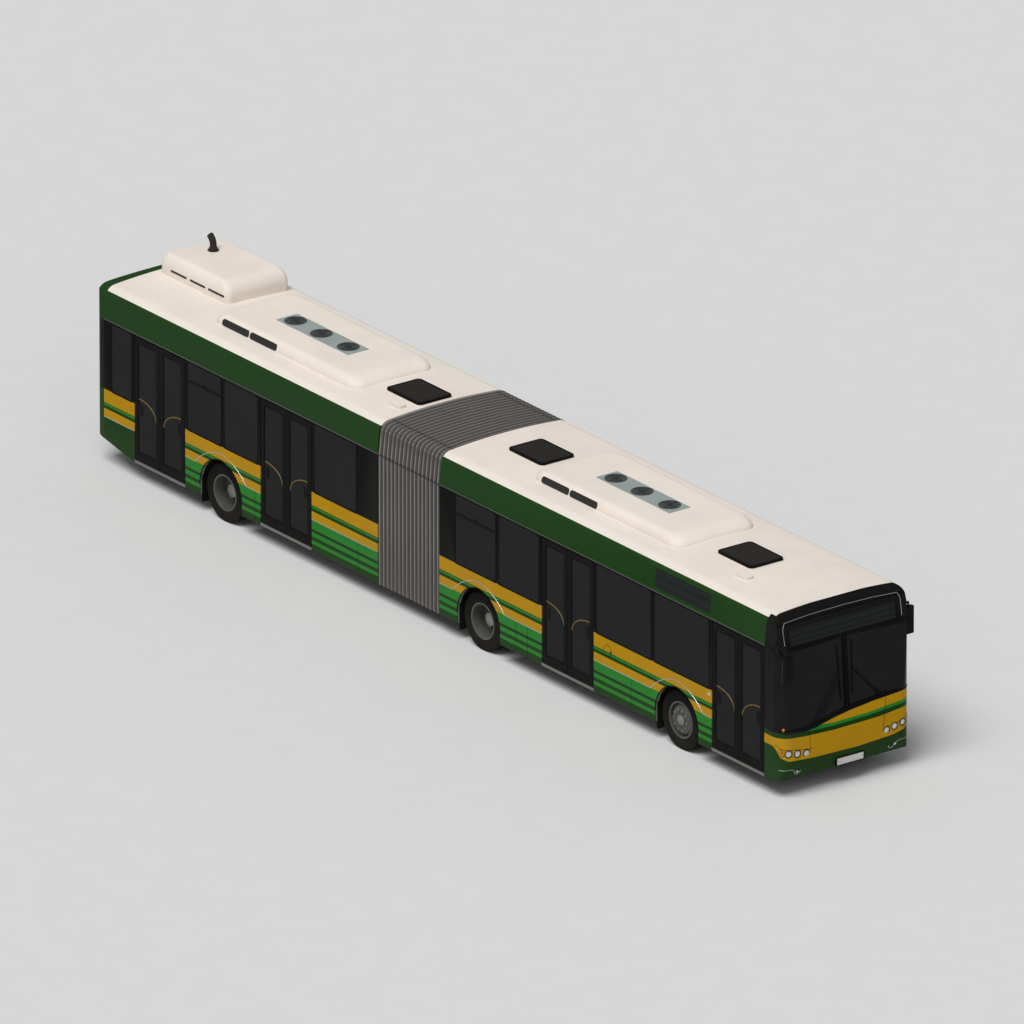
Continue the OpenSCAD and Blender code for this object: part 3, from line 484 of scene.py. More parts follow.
def worn(name, paint, rough=0.4, grain=200.0, depth=0.0004, dust=0.3, mottle=0.1, edge=0.05, relief=None, **fixed):
    """Material on the shared wear group. paint is a colour, or a function of the tree that gives one.
    relief is a function that gives a height and its depth for a second, coarser bump."""
    known = bpy.data.materials.get(name)
    if known:
        return known
    material = bpy.data.materials.new(name)
    material.use_nodes = True
    tree = material.node_tree
    shader = tree.nodes["Principled BSDF"]
    base = paint(tree) if callable(paint) else (*paint, 1)
    fills = {"Base": base, "Roughness": rough, "Grain": grain, "Grain depth": depth, "Dust": dust, "Mottle": mottle,
             "Edge": edge}
    wear = put(tree, "ShaderNodeGroup", node_tree=road_wear())
    for key, value in fills.items():
        if isinstance(value, bpy.types.NodeSocket):
            tree.links.new(value, wear.inputs[key])
        else:
            wear.inputs[key].default_value = value
    tree.links.new(wear.outputs["Color"], shader.inputs["Base Color"])
    tree.links.new(wear.outputs["Roughness"], shader.inputs["Roughness"])
    normal = wear.outputs["Normal"]
    if relief:
        height, deep = relief(tree)
        normal = put(tree, "ShaderNodeBump", {"Height": height, "Distance": deep, "Normal": normal}).outputs[0]
    tree.links.new(normal, shader.inputs["Normal"])
    for key, value in fixed.items():
        shader.inputs[key.replace("_", " ")].default_value = value
    return material


def tints():
    return bpy.context.scene.bus_colours


def rgba(value):
    return (*value, 1)


def side_bands(tree, height):
    """Stripes of the side walls from the skirt to the gutter."""
    c = tints()
    stops = [(0, c.dark_green), (0.41, c.light_green), (0.475, c.dark_green), (0.53, c.light_green),
             (0.61, c.dark_green), (0.66, c.light_green), (0.82, c.yellow), (0.96, c.dark_green),
             (1.01, c.light_green), (1.045, c.dark_green), (1.053, c.yellow), (GLASS_LOW - 0.004, c.band),
             (GLASS_HIGH, [0.22 * v for v in c.trim]), (LEAN_Z, c.dark_green)]
    return bands(tree, height, 3.2, stops)


def lined(tree, y, z, tone):
    """The tone on the outer skin and the grey of the wall lining on the faces towards the passengers."""
    skin = calc(tree, "MULTIPLY_ADD", calc(tree, "MAXIMUM", calc(tree, "SUBTRACT", z, LEAN_Z), 0.0), -0.18,
                HALF_W - 0.02)
    return mixed(tree, calc(tree, "LESS_THAN", calc(tree, "ABSOLUTE", y), skin), tone, rgba(tints().lining))


def side_livery(tree):
    """Side stripes; behind the last door the skirt is plain dark green."""
    _, x, y, z = object_place(tree)
    behind = calc(tree, "LESS_THAN", x, DOOR_REAR[3] + 0.01)
    plain = calc(tree, "MULTIPLY", behind, calc(tree, "LESS_THAN", z, 0.82))
    return lined(tree, y, z, mixed(tree, plain, side_bands(tree, z), rgba(tints().dark_green)))


def nose_livery(tree):
    """Front: dark bumper, yellow panel with a rising green stripe, black round the glass and a white roof edge."""
    c = tints()
    _, x, y, z = object_place(tree)
    back = calc(tree, "MULTIPLY", ramp_mask(tree, calc(tree, "SUBTRACT", X_NOSE, x), 0.2, 0.45),
                calc(tree, "GREATER_THAN", y, 0.0))

    def above(points, shift):
        line = curve_of(tree, y, points)
        return calc(tree, "GREATER_THAN", z, calc(tree, "MULTIPLY_ADD", back, shift, line))
    edge = HALF_W
    tone = mixed(tree, above([(-edge, 0.87), (-1.22, 0.69), (-1.12, 0.63), (-0.6, 0.595), (0.2, 0.575), (0.9, 0.61),
                              (1.12, 0.65), (edge, 0.76)], 0.06), rgba(c.dark_green), rgba(c.yellow))
    tone = mixed(tree, above([(-edge, 1.02), (-0.84, 0.99), (-0.26, 0.97), (0.62, 0.98), (1.1, 1.015), (edge, 1.03)],
                             -0.07), tone, rgba(c.dark_green))
    tone = mixed(tree, above([(-edge, 1.14), (-0.84, 1.075), (-0.7, 1.055), (-0.26, 1.04), (0.4, 1.05), (0.9, 1.075),
                              (edge, 1.095)], -0.085), tone, rgba(c.light_green))
    tone = mixed(tree, above([(-edge, 1.2), (-0.84, 1.2), (-0.5, 1.11), (-0.26, 1.09), (0.4, 1.1), (0.9, 1.13),
                              (edge, 1.155)], -0.11), tone, rgba(c.yellow))
    tone = mixed(tree, above([(-edge, 1.10), (-1.13, 1.078), (-0.8, 1.06), (-0.6, 1.09), (-0.26, 1.165), (0.03, 1.21),
                              (0.5, 1.26), (edge, 1.305)], 0.0), tone, rgba(c.band))
    roof = calc(tree, "MULTIPLY", calc(tree, "GREATER_THAN", z, ROOF_Z - 0.075),
                calc(tree, "LESS_THAN", x, X_NOSE - 0.33))
    return mixed(tree, roof, tone, rgba(c.roof))


def tail_livery(tree):
    """Tail cap: dark green with a black field round the rear window and the waist band on its corners' edge."""
    c = tints()
    _, x, y, z = object_place(tree)
    half = calc(tree, "ABSOLUTE", y)
    field = calc(tree, "MULTIPLY", calc(tree, "LESS_THAN", half, 1.02),
                 calc(tree, "MULTIPLY", calc(tree, "GREATER_THAN", z, 1.45), calc(tree, "LESS_THAN", z, 2.42)))
    tone = mixed(tree, field, rgba(c.dark_green), rgba(c.band))
    inside = calc(tree, "GREATER_THAN", x, X_TAIL + 0.2)
    corner = calc(tree, "MULTIPLY", inside, calc(tree, "GREATER_THAN", half, HALF_W - 0.03))
    window = calc(tree, "MULTIPLY", calc(tree, "GREATER_THAN", z, GLASS_LOW), calc(tree, "LESS_THAN", z, GLASS_HIGH))
    return mixed(tree, calc(tree, "MULTIPLY", corner, window), tone, rgba(c.band))


def seam_relief(tree):
    """Shallow sags between the frames behind the panels, a hand's width apart from true."""
    where, _, _, _ = object_place(tree)
    return noise(tree, stretched(tree, where, (1.1, 0.4, 1.6)), 1.0, 1.0), 0.004


def coated(name, paint, **more):
    """Two-layer paint: colour under a clear coat."""
    settings = {"rough": 0.42, "grain": 420.0, "depth": 0.00008, "dust": 0.05, "mottle": 0.08, "edge": 0.04,
                "relief": seam_relief, "Coat_Weight": 0.02, "Coat_Roughness": 0.15, "Specular_IOR_Level": 0.03}
    return worn(name, paint, **{**settings, **more})


def panes_of(name, alpha, tint):
    """Opaque dark glass with faint water marks: its near-black colour is the glass's own tint together with painted
    shade, standing for the dim inside seen through it.
    """
    known = bpy.data.materials.get(name)
    if known:
        return known
    material = worn(name, tint, rough=0.14, grain=9.0, depth=0.00002, dust=0.012, mottle=0.25, edge=0.0,
                    Alpha=alpha, Specular_IOR_Level=0.06)
    material.surface_render_method = "DITHERED"
    return material


def weave_height(tree, per_metre):
    """Two crossed sine waves, as warp and weft show on cloth."""
    where, _, _, _ = object_place(tree)
    wave = {"Vector": where, "Scale": per_metre, "Distortion": 0.4}
    warp = put(tree, "ShaderNodeTexWave", wave, bands_direction="X").outputs["Fac"]
    weft = put(tree, "ShaderNodeTexWave", wave, bands_direction="Z").outputs["Fac"]
    return calc(tree, "MULTIPLY", warp, weft)


def crest_cloth_fold_shade(tree):
    """Bellows cloth: light binding on the crests, dimmer towards the bottom, valleys painted near-black as painted
    shade in the folds, and two stitched seams along the shoulders.
    """
    c = tints()
    where, _, y, z = object_place(tree)
    crest = put(tree, "ShaderNodeAttribute", attribute_name="crest").outputs["Fac"]
    # Painted shade: the cloth darkens to near black towards the valleys of the folds
    deep = mixed(tree, ramp_mask(tree, crest, 0.0, 0.75), (0.012, 0.012, 0.012, 1), rgba(c.bellows))
    dots = ramp_mask(tree, put(tree, "ShaderNodeTexWave", {"Vector": where, "Scale": 9.0}, bands_direction="Y",
                               wave_profile="SIN").outputs["Fac"], 0.15, 0.6)
    top = ramp_mask(tree, z, 2.6, 2.9)
    bound = calc(tree, "MULTIPLY", ramp_mask(tree, crest, 0.93, 0.985),
                 calc(tree, "SUBTRACT", 1.0, calc(tree, "MULTIPLY", top, calc(tree, "MULTIPLY", dots, 0.75))))
    fade = calc(tree, "MULTIPLY_ADD", ramp_mask(tree, z, 0.3, 1.6), 0.35, 0.65)
    tone = mixed(tree, calc(tree, "MULTIPLY", bound, fade), deep, rgba(c.pleat_edge))
    across = calc(tree, "ABSOLUTE", y)
    seam = calc(tree, "MULTIPLY", calc(tree, "COMPARE", across, 1.0, 0.016), top)
    low_seam = calc(tree, "COMPARE", z, 2.46, 0.02)
    return mixed(tree, calc(tree, "MULTIPLY", calc(tree, "MAXIMUM", seam, low_seam), 0.7), tone, (0.01, 0.01, 0.01, 1))


def seat_pattern(tree):
    """Moquette: deep ground with small crossed specks in two colours."""
    where, _, _, _ = object_place(tree)
    cells = put(tree, "ShaderNodeTexVoronoi", {"Vector": where, "Scale": 38.0, "Randomness": 0.6})
    speck = calc(tree, "LESS_THAN", cells.outputs["Distance"], 0.22)
    pick = put(tree, "ShaderNodeSeparateColor", {0: cells.outputs["Color"]}).outputs[0]
    dot = mixed(tree, calc(tree, "GREATER_THAN", pick, 0.6), (0.55, 0.35, 0.03, 1), (0.05, 0.30, 0.10, 1))
    return mixed(tree, speck, rgba(tints().cloth), dot)


def plate_dots(tree):
    """Raised lozenges of a non-slip floor."""
    where, _, _, _ = object_place(tree)
    wave = {"Vector": where, "Scale": 14.0}
    one = put(tree, "ShaderNodeTexWave", wave, bands_direction="DIAGONAL").outputs["Fac"]
    two = put(tree, "ShaderNodeTexWave", {"Vector": stretched(tree, where, (1, -1, 1)), "Scale": 14.0},
              bands_direction="DIAGONAL").outputs["Fac"]
    return calc(tree, "MULTIPLY", one, two), 0.002


def heat_tint(tree):
    """Exhaust steel: straw and blue bands of heat along the pipe."""
    where, _, _, z = object_place(tree)
    hot = noise(tree, where, 6.0, 4.0)
    tone = mixed(tree, ramp_mask(tree, hot, 0.35, 0.7), (0.030, 0.027, 0.024, 1), (0.060, 0.043, 0.028, 1))
    return mixed(tree, ramp_mask(tree, z, POD_TOP, POD_TOP + 0.3), tone, (0.020, 0.019, 0.018, 1))


def display_dots(tree):
    """Blank matrix display: rows of unlit cells behind dark glass."""
    where, _, _, _ = object_place(tree)
    cells = put(tree, "ShaderNodeTexVoronoi", {"Vector": where, "Scale": 62.0, "Randomness": 0.0})
    return mixed(tree, calc(tree, "LESS_THAN", cells.outputs["Distance"], 0.3), (0.012, 0.014, 0.014, 1),
                 (0.030, 0.032, 0.028, 1))


def ribs(direction, per_metre, depth):
    """Relief of parallel ribs."""
    def relief(tree):
        where, _, _, _ = object_place(tree)
        wave = {"Vector": where, "Scale": per_metre}
        return put(tree, "ShaderNodeTexWave", wave, bands_direction=direction).outputs["Fac"], depth
    return relief


def finish_of(name):
    """The named finish, made when first asked for."""
    c = tints()
    table = {
        "side_paint": lambda n: coated(n, side_livery),
        "nose_paint": lambda n: coated(n, nose_livery, dust=0.06),
        "tail_paint": lambda n: coated(n, tail_livery, dust=0.16),
        "green_paint": lambda n: coated(n, c.dark_green, dust=0.16),
        "yellow_paint": lambda n: coated(n, c.yellow),
        "roof_paint": lambda n: coated(n, c.roof, rough=0.7, dust=0.10, mottle=0.05, Specular_IOR_Level=0.12),
        "dark_glass_painted_shade": lambda n: panes_of(n, 1.0, c.glass),
        "door_glass_painted_shade": lambda n: panes_of(n, 1.0, c.glass),
        "display_glass": lambda n: worn(n, display_dots, rough=0.2, dust=0.01, edge=0.0, Specular_IOR_Level=0.05),
        "black_gloss": lambda n: worn(n, c.band, rough=0.3, grain=500.0, depth=0.00005, dust=0.01, edge=0.03,
                                      Specular_IOR_Level=0.04),
        "black_plastic": lambda n: worn(n, (0.0035, 0.0035, 0.004), rough=0.5, grain=900.0, depth=0.0002, dust=0.03,
                                        edge=0.01, Specular_IOR_Level=0.06),
        "rubber": lambda n: worn(n, (0.003, 0.003, 0.003), rough=0.72, grain=700.0, depth=0.0002, dust=0.03,
                                 edge=0.01, Specular_IOR_Level=0.06),
        "tyre_rubber": lambda n: worn(n, (0.004, 0.004, 0.004), rough=0.82, grain=500.0, depth=0.0004, dust=0.07,
                                      mottle=0.2, edge=0.01, Specular_IOR_Level=0.08),
        "wheel_paint": lambda n: worn(n, c.rim, rough=0.5, grain=350.0, depth=0.0002, dust=0.15, mottle=0.5, edge=0.1,
                                      Specular_IOR_Level=0.2),
        "hub_steel": lambda n: worn(n, (0.42, 0.43, 0.43), rough=0.35, grain=500.0, dust=0.35, mottle=0.45,
                                    Metallic=0.85),
        "bright_trim": lambda n: worn(n, c.trim, rough=0.26, grain=600.0, dust=0.15, Metallic=0.8),
        "bellows_cloth_fold_shade": lambda n: worn(n, crest_cloth_fold_shade, rough=0.75, grain=300.0, depth=0.0006, dust=0.18,
                                        relief=lambda t: (weave_height(t, 55.0), 0.0012)),
        "hatch_plastic": lambda n: worn(n, c.hatch, rough=0.7, grain=260.0, depth=0.0005, dust=0.03, edge=0.02,
                                        Specular_IOR_Level=0.03),
        "fan_well": lambda n: worn(n, (0.09, 0.10, 0.098), rough=0.6, grain=200.0, dust=0.1),
        "fan_grey": lambda n: worn(n, (0.010, 0.011, 0.011), rough=0.5, grain=400.0, dust=0.04, edge=0.1),
        "fan_plate": lambda n: worn(n, c.fan_panel, rough=0.5, grain=300.0, dust=0.12),
        "slot_black": lambda n: worn(n, (0.004, 0.004, 0.004), rough=0.7, grain=120.0, depth=0.001, dust=0.1,
                                     relief=ribs("X", 12.0, 0.003)),
        "sill_steel": lambda n: worn(n, (0.05, 0.052, 0.05), rough=0.5, grain=200.0, dust=0.2, edge=0.3,
                                     relief=plate_dots, Metallic=0.3),
        "sill_edge": lambda n: worn(n, (0.17, 0.175, 0.17), rough=0.45, grain=200.0, dust=0.2, edge=0.3, Metallic=0.3),
        "chassis_steel": lambda n: worn(n, (0.03, 0.03, 0.032), rough=0.6, grain=160.0, depth=0.0008, dust=0.7,
                                        mottle=0.4, edge=0.35),
        "gangway_steel": lambda n: worn(n, (0.06, 0.06, 0.065), rough=0.5, grain=220.0, dust=0.2, edge=0.4,
                                        relief=plate_dots),
        "cab_plastic": lambda n: worn(n, (0.045, 0.047, 0.05), rough=0.55, grain=800.0, depth=0.0003, dust=0.05),
        "rail_coat": lambda n: worn(n, c.rail, rough=0.33, grain=900.0, depth=0.00015, dust=0.03, edge=0.15),
        # Painted shade: the door rails are the grab-rail yellow darkened, standing for rails seen in the dim inside
        # behind the tinted panes
        "door_rail_painted_shade": lambda n: worn(n, (0.16, 0.095, 0.012), rough=0.5, grain=900.0, depth=0.00015, dust=0.03, edge=0.02),
        "seat_cloth": lambda n: worn(n, seat_pattern, rough=0.9, grain=600.0, depth=0.0006, dust=0.05,
                                     relief=lambda t: (weave_height(t, 120.0), 0.0008), Sheen_Weight=0.3),
        "seat_shell": lambda n: worn(n, (0.16, 0.17, 0.18), rough=0.5, grain=700.0, depth=0.0002, dust=0.05),
        "engine_iron": lambda n: worn(n, (0.12, 0.12, 0.115), rough=0.65, grain=140.0, depth=0.001, dust=0.5,
                                      mottle=0.5, edge=0.4, Metallic=0.5),
        "exhaust_steel": lambda n: worn(n, heat_tint, rough=0.6, grain=240.0, dust=0.03, edge=0.01,
                                        Specular_IOR_Level=0.1),
        "lamp_chrome": lambda n: worn(n, (0.62, 0.63, 0.65), rough=0.16, grain=300.0, dust=0.08, edge=0.0, Metallic=0.9,
                                      relief=ribs("Y", 30.0, 0.0015)),
        "lamp_amber": lambda n: worn(n, (0.75, 0.22, 0.01), rough=0.2, dust=0.08, edge=0.0,
                                     relief=ribs("Z", 40.0, 0.001)),
        "lamp_red": lambda n: worn(n, (0.45, 0.012, 0.010), rough=0.2, dust=0.08, edge=0.0,
                                   relief=ribs("Z", 40.0, 0.001)),
        "plate_white": lambda n: worn(n, (0.68, 0.68, 0.66), rough=0.4, grain=500.0, dust=0.2, edge=0.1),
        "mirror_glass": lambda n: worn(n, (0.5, 0.52, 0.54), rough=0.05, grain=20.0, depth=0.00001, dust=0.1, edge=0.0,
                                       Metallic=1.0),
    }
    own = f"bus_{name}"
    return bpy.data.materials.get(own) or table[name](own)


def coat_nodes(finish, *nodes):
    """Gives CAD nodes a finish."""
    for node in nodes:
        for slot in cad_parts[node].material_slots:
            slot.material = finish_of(finish)


class BuildStep:
    """What every step's operator shares."""
    bl_options = {"REGISTER"}

    def execute(self, context):
        self.build(context.scene.bus_sizes)
        return {"FINISHED"}


class BUS_OT_bodywork(BuildStep, bpy.types.Operator):
    """Paints the side walls, roofs, nose, tail, floors and frames"""
    bl_idname = "bus.bodywork"
    bl_label = "Bodywork"

    def build(self, sizes):
        coat_nodes("side_paint", "front_side_right", "front_side_left", "rear_side_right", "rear_side_left")
        coat_nodes("nose_paint", "nose")
        coat_nodes("tail_paint", "tail")
        coat_nodes("roof_paint", "front_roof", "rear_roof", "front_ac_unit", "rear_ac_unit", "intake_pod")
        coat_nodes("green_paint", "engine_flap")
        coat_nodes("hatch_plastic", "front_hatch", "middle_hatch", "rear_hatch")
        coat_nodes("sill_steel", "front_floor", "rear_floor")
        coat_nodes("gangway_steel", "front_joint_frame", "rear_joint_frame")
        coat_nodes("chassis_steel", "front_axle", "middle_axle", "rear_axle", "knuckle_left", "knuckle_right")
        coat_nodes("cab_plastic", "driver_cab", "dashboard", "engine_cover")
        coat_nodes("rail_coat", "front_handrails", "rear_handrails")
        coat_nodes("engine_iron", "engine")
        coat_nodes("exhaust_steel", "exhaust_pipe")
        coat_nodes("black_plastic", "mirrors")
        coat_nodes("seat_shell", "front_seats", "rear_seats")


def panes_in(runs):
    """Left and right end of every pane of the runs."""
    for start, end, count in runs:
        width = (end - start - (count - 1) * PILLAR) / count
        for i in range(count):
            yield start + i * (width + PILLAR), start + i * (width + PILLAR) + width


class BUS_OT_glazing(BuildStep, bpy.types.Operator):
    """Gives the glass its dark finish, the tint together with painted shade of the dim inside behind it, and adds the
    rubber round each pane and the bars of the hopper windows
    """
    bl_idname = "bus.glazing"
    bl_label = "Glazing"

    def build(self, sizes):
        coat_nodes("dark_glass_painted_shade", "windscreen", "front_windows", "rear_windows")
        coat_nodes("display_glass", "destination_signs")
        hoppers = {"front": {(1, 0), (-1, 0), (-1, 2), (-1, 4)}, "rear": {(1, 1), (-1, 0), (-1, 2)}}
        for car, right, left in (("front", RIGHT_FRONT, LEFT_FRONT), ("rear", RIGHT_REAR, LEFT_REAR)):
            rubber = Shells()
            bars = Shells()
            for side, runs in ((-1, right), (1, left)):
                place = side_plane(side)
                for i, (start, end) in enumerate(panes_in(runs)):
                    a0, a1 = (start, end) if side < 0 else (-end, -start)
                    b0, b1 = GLASS_LOW, GLASS_HIGH
                    w = sizes.gasket_w
                    rubber.add(hoop(place, round_rect(a0 - 0.004, a1 + 0.004, b0 - 0.004, b1 + 0.004, 0.03),
                                    round_rect(a0 + w, a1 - w, b0 + w, b1 - w, 0.05), -0.003, 0.0035, 0.0015), wrap=True)
                    if (-side, i) in hoppers[car]:
                        b = b1 - 0.33
                        bars.add(slab(place, round_rect(a0 + w, a1 - w, b - 0.02, b + 0.02, 0.008), -0.002, 0.007))
                        middle = (a0 + a1) / 2
                        bars.add(slab(place, round_rect(middle - 0.05, middle + 0.05, b + 0.024, b + 0.044, 0.008),
                                      -0.002, 0.012))
            piece(f"{car}_pane_gaskets", rubber, f"{car}_car", [finish_of("rubber")])
            piece(f"{car}_hopper_bars", bars, f"{car}_car", [finish_of("black_gloss")])


class BUS_OT_doors(BuildStep, bpy.types.Operator):
    """Makes the eight door leaves: rounded frame, recessed pane, rubber edges, opening pad and curved rail"""
    bl_idname = "bus.doors"
    bl_label = "Doors"

    def build(self, sizes):
        place = side_plane(-1)
        for car, numbers in (("front", (0, 1)), ("rear", (2, 3))):
            sills = Shells()
            for i in numbers:
                sills.add(slab(place, round_rect(DOOR_REAR[i] + 0.004, DOOR_FRONT[i] - 0.004, SKIRT_Z + 0.003,
                                                 DOOR_LOW - 0.012, 0.006), -0.002, 0.003, 0.001))
            piece(f"{car}_door_sills", sills, f"{car}_car", [finish_of("sill_edge")])
        for number in (1, 2, 3, 4):
            for end in ("front", "rear"):
                node, body = f"door{number}_{end}_leaf", f"door{number}_{end}"
                low, high = ends(node)
                x0, x1 = low[0], high[0]
                z0, z1 = DOOR_LOW, DOOR_HIGH
                thick = high[1] - low[1]
                hinge = x1 if end == "front" else x0
                into = -1 if end == "front" else 1
                hole = (x0 + 0.088, x1 - 0.088, z0 + 0.15, z1 - 0.10)
                leaf = Shells()
                leaf.add(hoop(place, round_rect(x0, x1, z0, z1, 0.006), round_rect(*hole, 0.035), -thick, 0, 0.004),
                         wrap=True)
                post = (hinge + into * 0.040, -thick / 2)
                for za, zb in ((z0 - 0.0097, z0 + 0.004), (z1 - 0.004, z1 + 0.0137)):
                    pin = plane((post[0], -HALF_W + thick / 2, 0), (1, 0, 0), (0, 1, 0))
                    leaf.add(turned(pin, [(0.011, za), (0.012, za + 0.001), (0.012, zb - 0.001), (0.011, zb)], sides=20))
                piece(f"{node}_frame", leaf, body, [finish_of("black_gloss")], replaces=[node])
                # Recessed pane of opaque dark glass, its colour the tint together with painted shade of the inside
                # behind it
                pane = Shells().add(slab(place, round_rect(hole[0] - 0.006, hole[1] + 0.006, hole[2] - 0.006,
                                                           hole[3] + 0.006, 0.04), -0.016, -0.010, 0.001))
                piece(f"{node}_pane", pane, body, [finish_of("door_glass_painted_shade")])
                edge = Shells()
                inner = round_rect(hole[0] + 0.012, hole[1] - 0.012, hole[2] + 0.012, hole[3] - 0.012, 0.03)
                edge.add(hoop(place, round_rect(*hole, 0.035), inner, -0.0105, -0.004, 0.001), wrap=True)
                free = x0 if end == "front" else x1
                strip = np.array([[free - into * 0.004, -HALF_W + thick / 2, z] for z in np.linspace(z0 + 0.01, z1 - 0.01, 12)])
                edge.add(tube(strip, 0.0065, 10, 2.2))
                edge.add(tube(strip - (0, thick / 2 - 0.008, 0), 0.0055, 8))
                piece(f"{node}_rubber", edge, body, [finish_of("rubber")])
                pad_a = hinge + into * 0.088
                pads = Shells()
                a0, a1 = sorted((pad_a - into * 0.03, pad_a + into * 0.11))
                pads.add(slab(place, round_rect(a0, a1, 1.12, 1.31, 0.04), -0.012, -0.002, 0.003))
                pads.add(hoop(place, round_rect(a0 + 0.02, a1 - 0.02, 1.15, 1.28, 0.03),
                              round_rect(a0 + 0.035, a1 - 0.035, 1.165, 1.265, 0.02), -0.004, 0.0, 0.001), wrap=True)
                piece(f"{node}_pad", pads, body, [finish_of("black_plastic")])
                # Curved grab rail; its finish is the rail yellow darkened as painted shade of the inside behind the
                # pane
                t = np.linspace(0, math.pi / 2, 22)
                x = pad_a + into * (0.02 + 0.45 * np.sin(t))
                z = 1.13 + 0.27 * np.cos(t)
                y = np.full_like(t, -HALF_W + 0.013)
                rail = Shells().add(tube(np.stack([x, y, z], 1), sizes.rail_r, 12))
                for px, pz in ((x[0], z[0]), (x[-1], z[-1])):
                    foot = plane((px, -HALF_W + 0.016, pz), (1, 0, 0), (0, 0, -1))
                    rail.add(turned(foot, [(0.016, 0.001), (0.016, 0.005), (0.009, 0.008), (0.009, 0.012)], sides=16))
                piece(f"{node}_rail", rail, body, [finish_of("door_rail_painted_shade")])



def tyre_rings(middle, sides=180):
    """Tyre about the wheel's axis: a closed profile of bead, sidewall, shoulder and tread turned round, with
    four grooves round the tread and cross cuts in both shoulders pressed in as a function of place."""
    half = TYRE_W / 2
    r = WHEEL_R
    wall = [(0.2865, half - 0.024), (0.303, half - 0.019), (0.309, half - 0.012), (0.322, half - 0.007),
            (r - 0.14, half - 0.004), (r - 0.115, half - 0.002), (r - 0.113, half), (r - 0.095, half),
            (r - 0.093, half - 0.002), (r - 0.055, half - 0.002), (r - 0.03, half - 0.006), (r - 0.014, half - 0.011)]
    tread_w = np.linspace(half - 0.020, -(half - 0.020), 40)
    outer = [(r - 0.006, half - 0.015)] + [(r, w) for w in tread_w] + [(r - 0.006, -(half - 0.015))]
    other = [(a, -b) for a, b in wall[::-1]]
    profile = np.array(wall + outer + other)
    turn = np.linspace(0, 2 * math.pi, sides, endpoint=False)
    radius = np.repeat(profile[:, 0][:, None], sides, 1)
    across = np.repeat(profile[:, 1][:, None], sides, 1)
    depth = bpy.context.scene.bus_sizes.tread_depth
    wave = 0.004 * np.sin(turn * 30)[None]
    groove = np.zeros_like(radius)
    for at in (-0.072, -0.024, 0.024, 0.072):
        groove = np.maximum(groove, (np.abs(across + wave - at) < 0.0062).astype(float))
    cut = (np.abs(across) > 0.088) & ((np.arange(sides) % 4)[None] == 0) & (radius > r - 0.012)
    radius = radius - depth * np.maximum(groove * (radius > r - 0.002), cut.astype(float) * 0.8)
    return np.stack([radius * np.cos(turn), middle + across, WHEEL_R + radius * np.sin(turn)], -1)


class BUS_OT_wheels(BuildStep, bpy.types.Operator):
    """Makes treaded tyres, wheel nuts and hub caps, and paints the rims"""
    bl_idname = "bus.wheels"
    bl_label = "Wheels"

    def build(self, sizes):
        track = TYRE_OUT - TYRE_W / 2
        nut_circle = 0.335 / 2
        hexagon = disc(0, 0, 0.0185, 6)
        for axle, x in zip(("front", "middle", "rear"), AXLE_X):
            for word, side in (("left", 1), ("right", -1)):
                body = f"{axle}_{word}_wheel" + ("" if axle == "front" else "s")
                middles = [track] if axle == "front" else [track, track - TWIN_PITCH]
                tyres = Shells()
                for middle in middles:
                    rings = tyre_rings(middle) * (1, side, 1) + (x, 0, 0)
                    tyres.add(rings, wrap=True)
                node = f"front_tyre_{word}" if axle == "front" else f"{axle}_tyres_{word}"
                piece(f"{axle}_{word}_treaded_tyres", tyres, body, [finish_of("tyre_rubber")],
                      replaces=[node], sharp=28)
                coat_nodes("wheel_paint", f"{axle}_rim_{word}")
                place = plane((x, 0, WHEEL_R), (-side, 0, 0), (0, 0, 1))
                face = ends(f"front_rim_{word}")[1][1] if side > 0 else -ends(f"front_rim_{word}")[0][1]
                hub_r, hub_top = 0.088, face
                seat = face - 0.012
                if axle != "front":
                    twin = track - TWIN_PITCH / 2
                    seat, hub_r, hub_top = twin + 0.014, 0.112, twin + 0.165
                nuts = Shells()
                for k in range(10):
                    turn = 2 * math.pi * k / 10
                    a, b = nut_circle * math.cos(turn), nut_circle * math.sin(turn)
                    nuts.add(turned(place, [(0.019, seat), (0.021, seat + 0.003), (0.014, seat + 0.005)], (a, b), 20))
                    nuts.add(slab(place, hexagon + (a, b), seat + 0.004, seat + 0.024, 0.002))
                    nuts.add(turned(place, [(0.010, seat + 0.023), (0.010, seat + 0.033), (0.008, seat + 0.035)],
                                    (a, b), 14))
                cap = [(hub_r * 0.98, hub_top - 0.004), (hub_r * 0.98, hub_top + 0.002), (hub_r * 0.9, hub_top + 0.007),
                       (hub_r * 0.55, hub_top + 0.009), (hub_r * 0.5, hub_top + 0.013), (hub_r * 0.1, hub_top + 0.014)]
                nuts.add(turned(place, cap, sides=40))
                piece(f"{axle}_{word}_wheel_nuts", nuts, body, [finish_of("hub_steel")])


class BUS_OT_bellows(BuildStep, bpy.types.Operator):
    """Makes the pleated bellows between the cars"""
    bl_idname = "bus.bellows"
    bl_label = "Bellows"

    def build(self, sizes):
        rows = sizes.pleats * 10 + 1
        share = np.linspace(0, 1, rows)
        x = X_REAR_START + 0.001 + share * (X_FRONT_END - X_REAR_START - 0.002)
        fold = np.abs(np.sin(math.pi * sizes.pleats * share)) ** 0.6
        rings, crest = [], []
        for at, lift in zip(x, fold):
            outer = body_arch((1 - lift) * sizes.pleat_depth)
            inner = body_arch(0.085 + (1 - lift) * sizes.pleat_depth * 0.9)[::-1]
            ring = np.concatenate([outer, inner])
            rings.append(np.column_stack([np.full(len(ring), at), ring]))
            crest.append(np.full(len(ring), lift))
        cover = piece("bellows_cover", Shells().add(rings), None, [finish_of("bellows_cloth_fold_shade")],
                      replaces=["bellows"], sharp=50, values=np.concatenate(crest))
        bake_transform(cover)


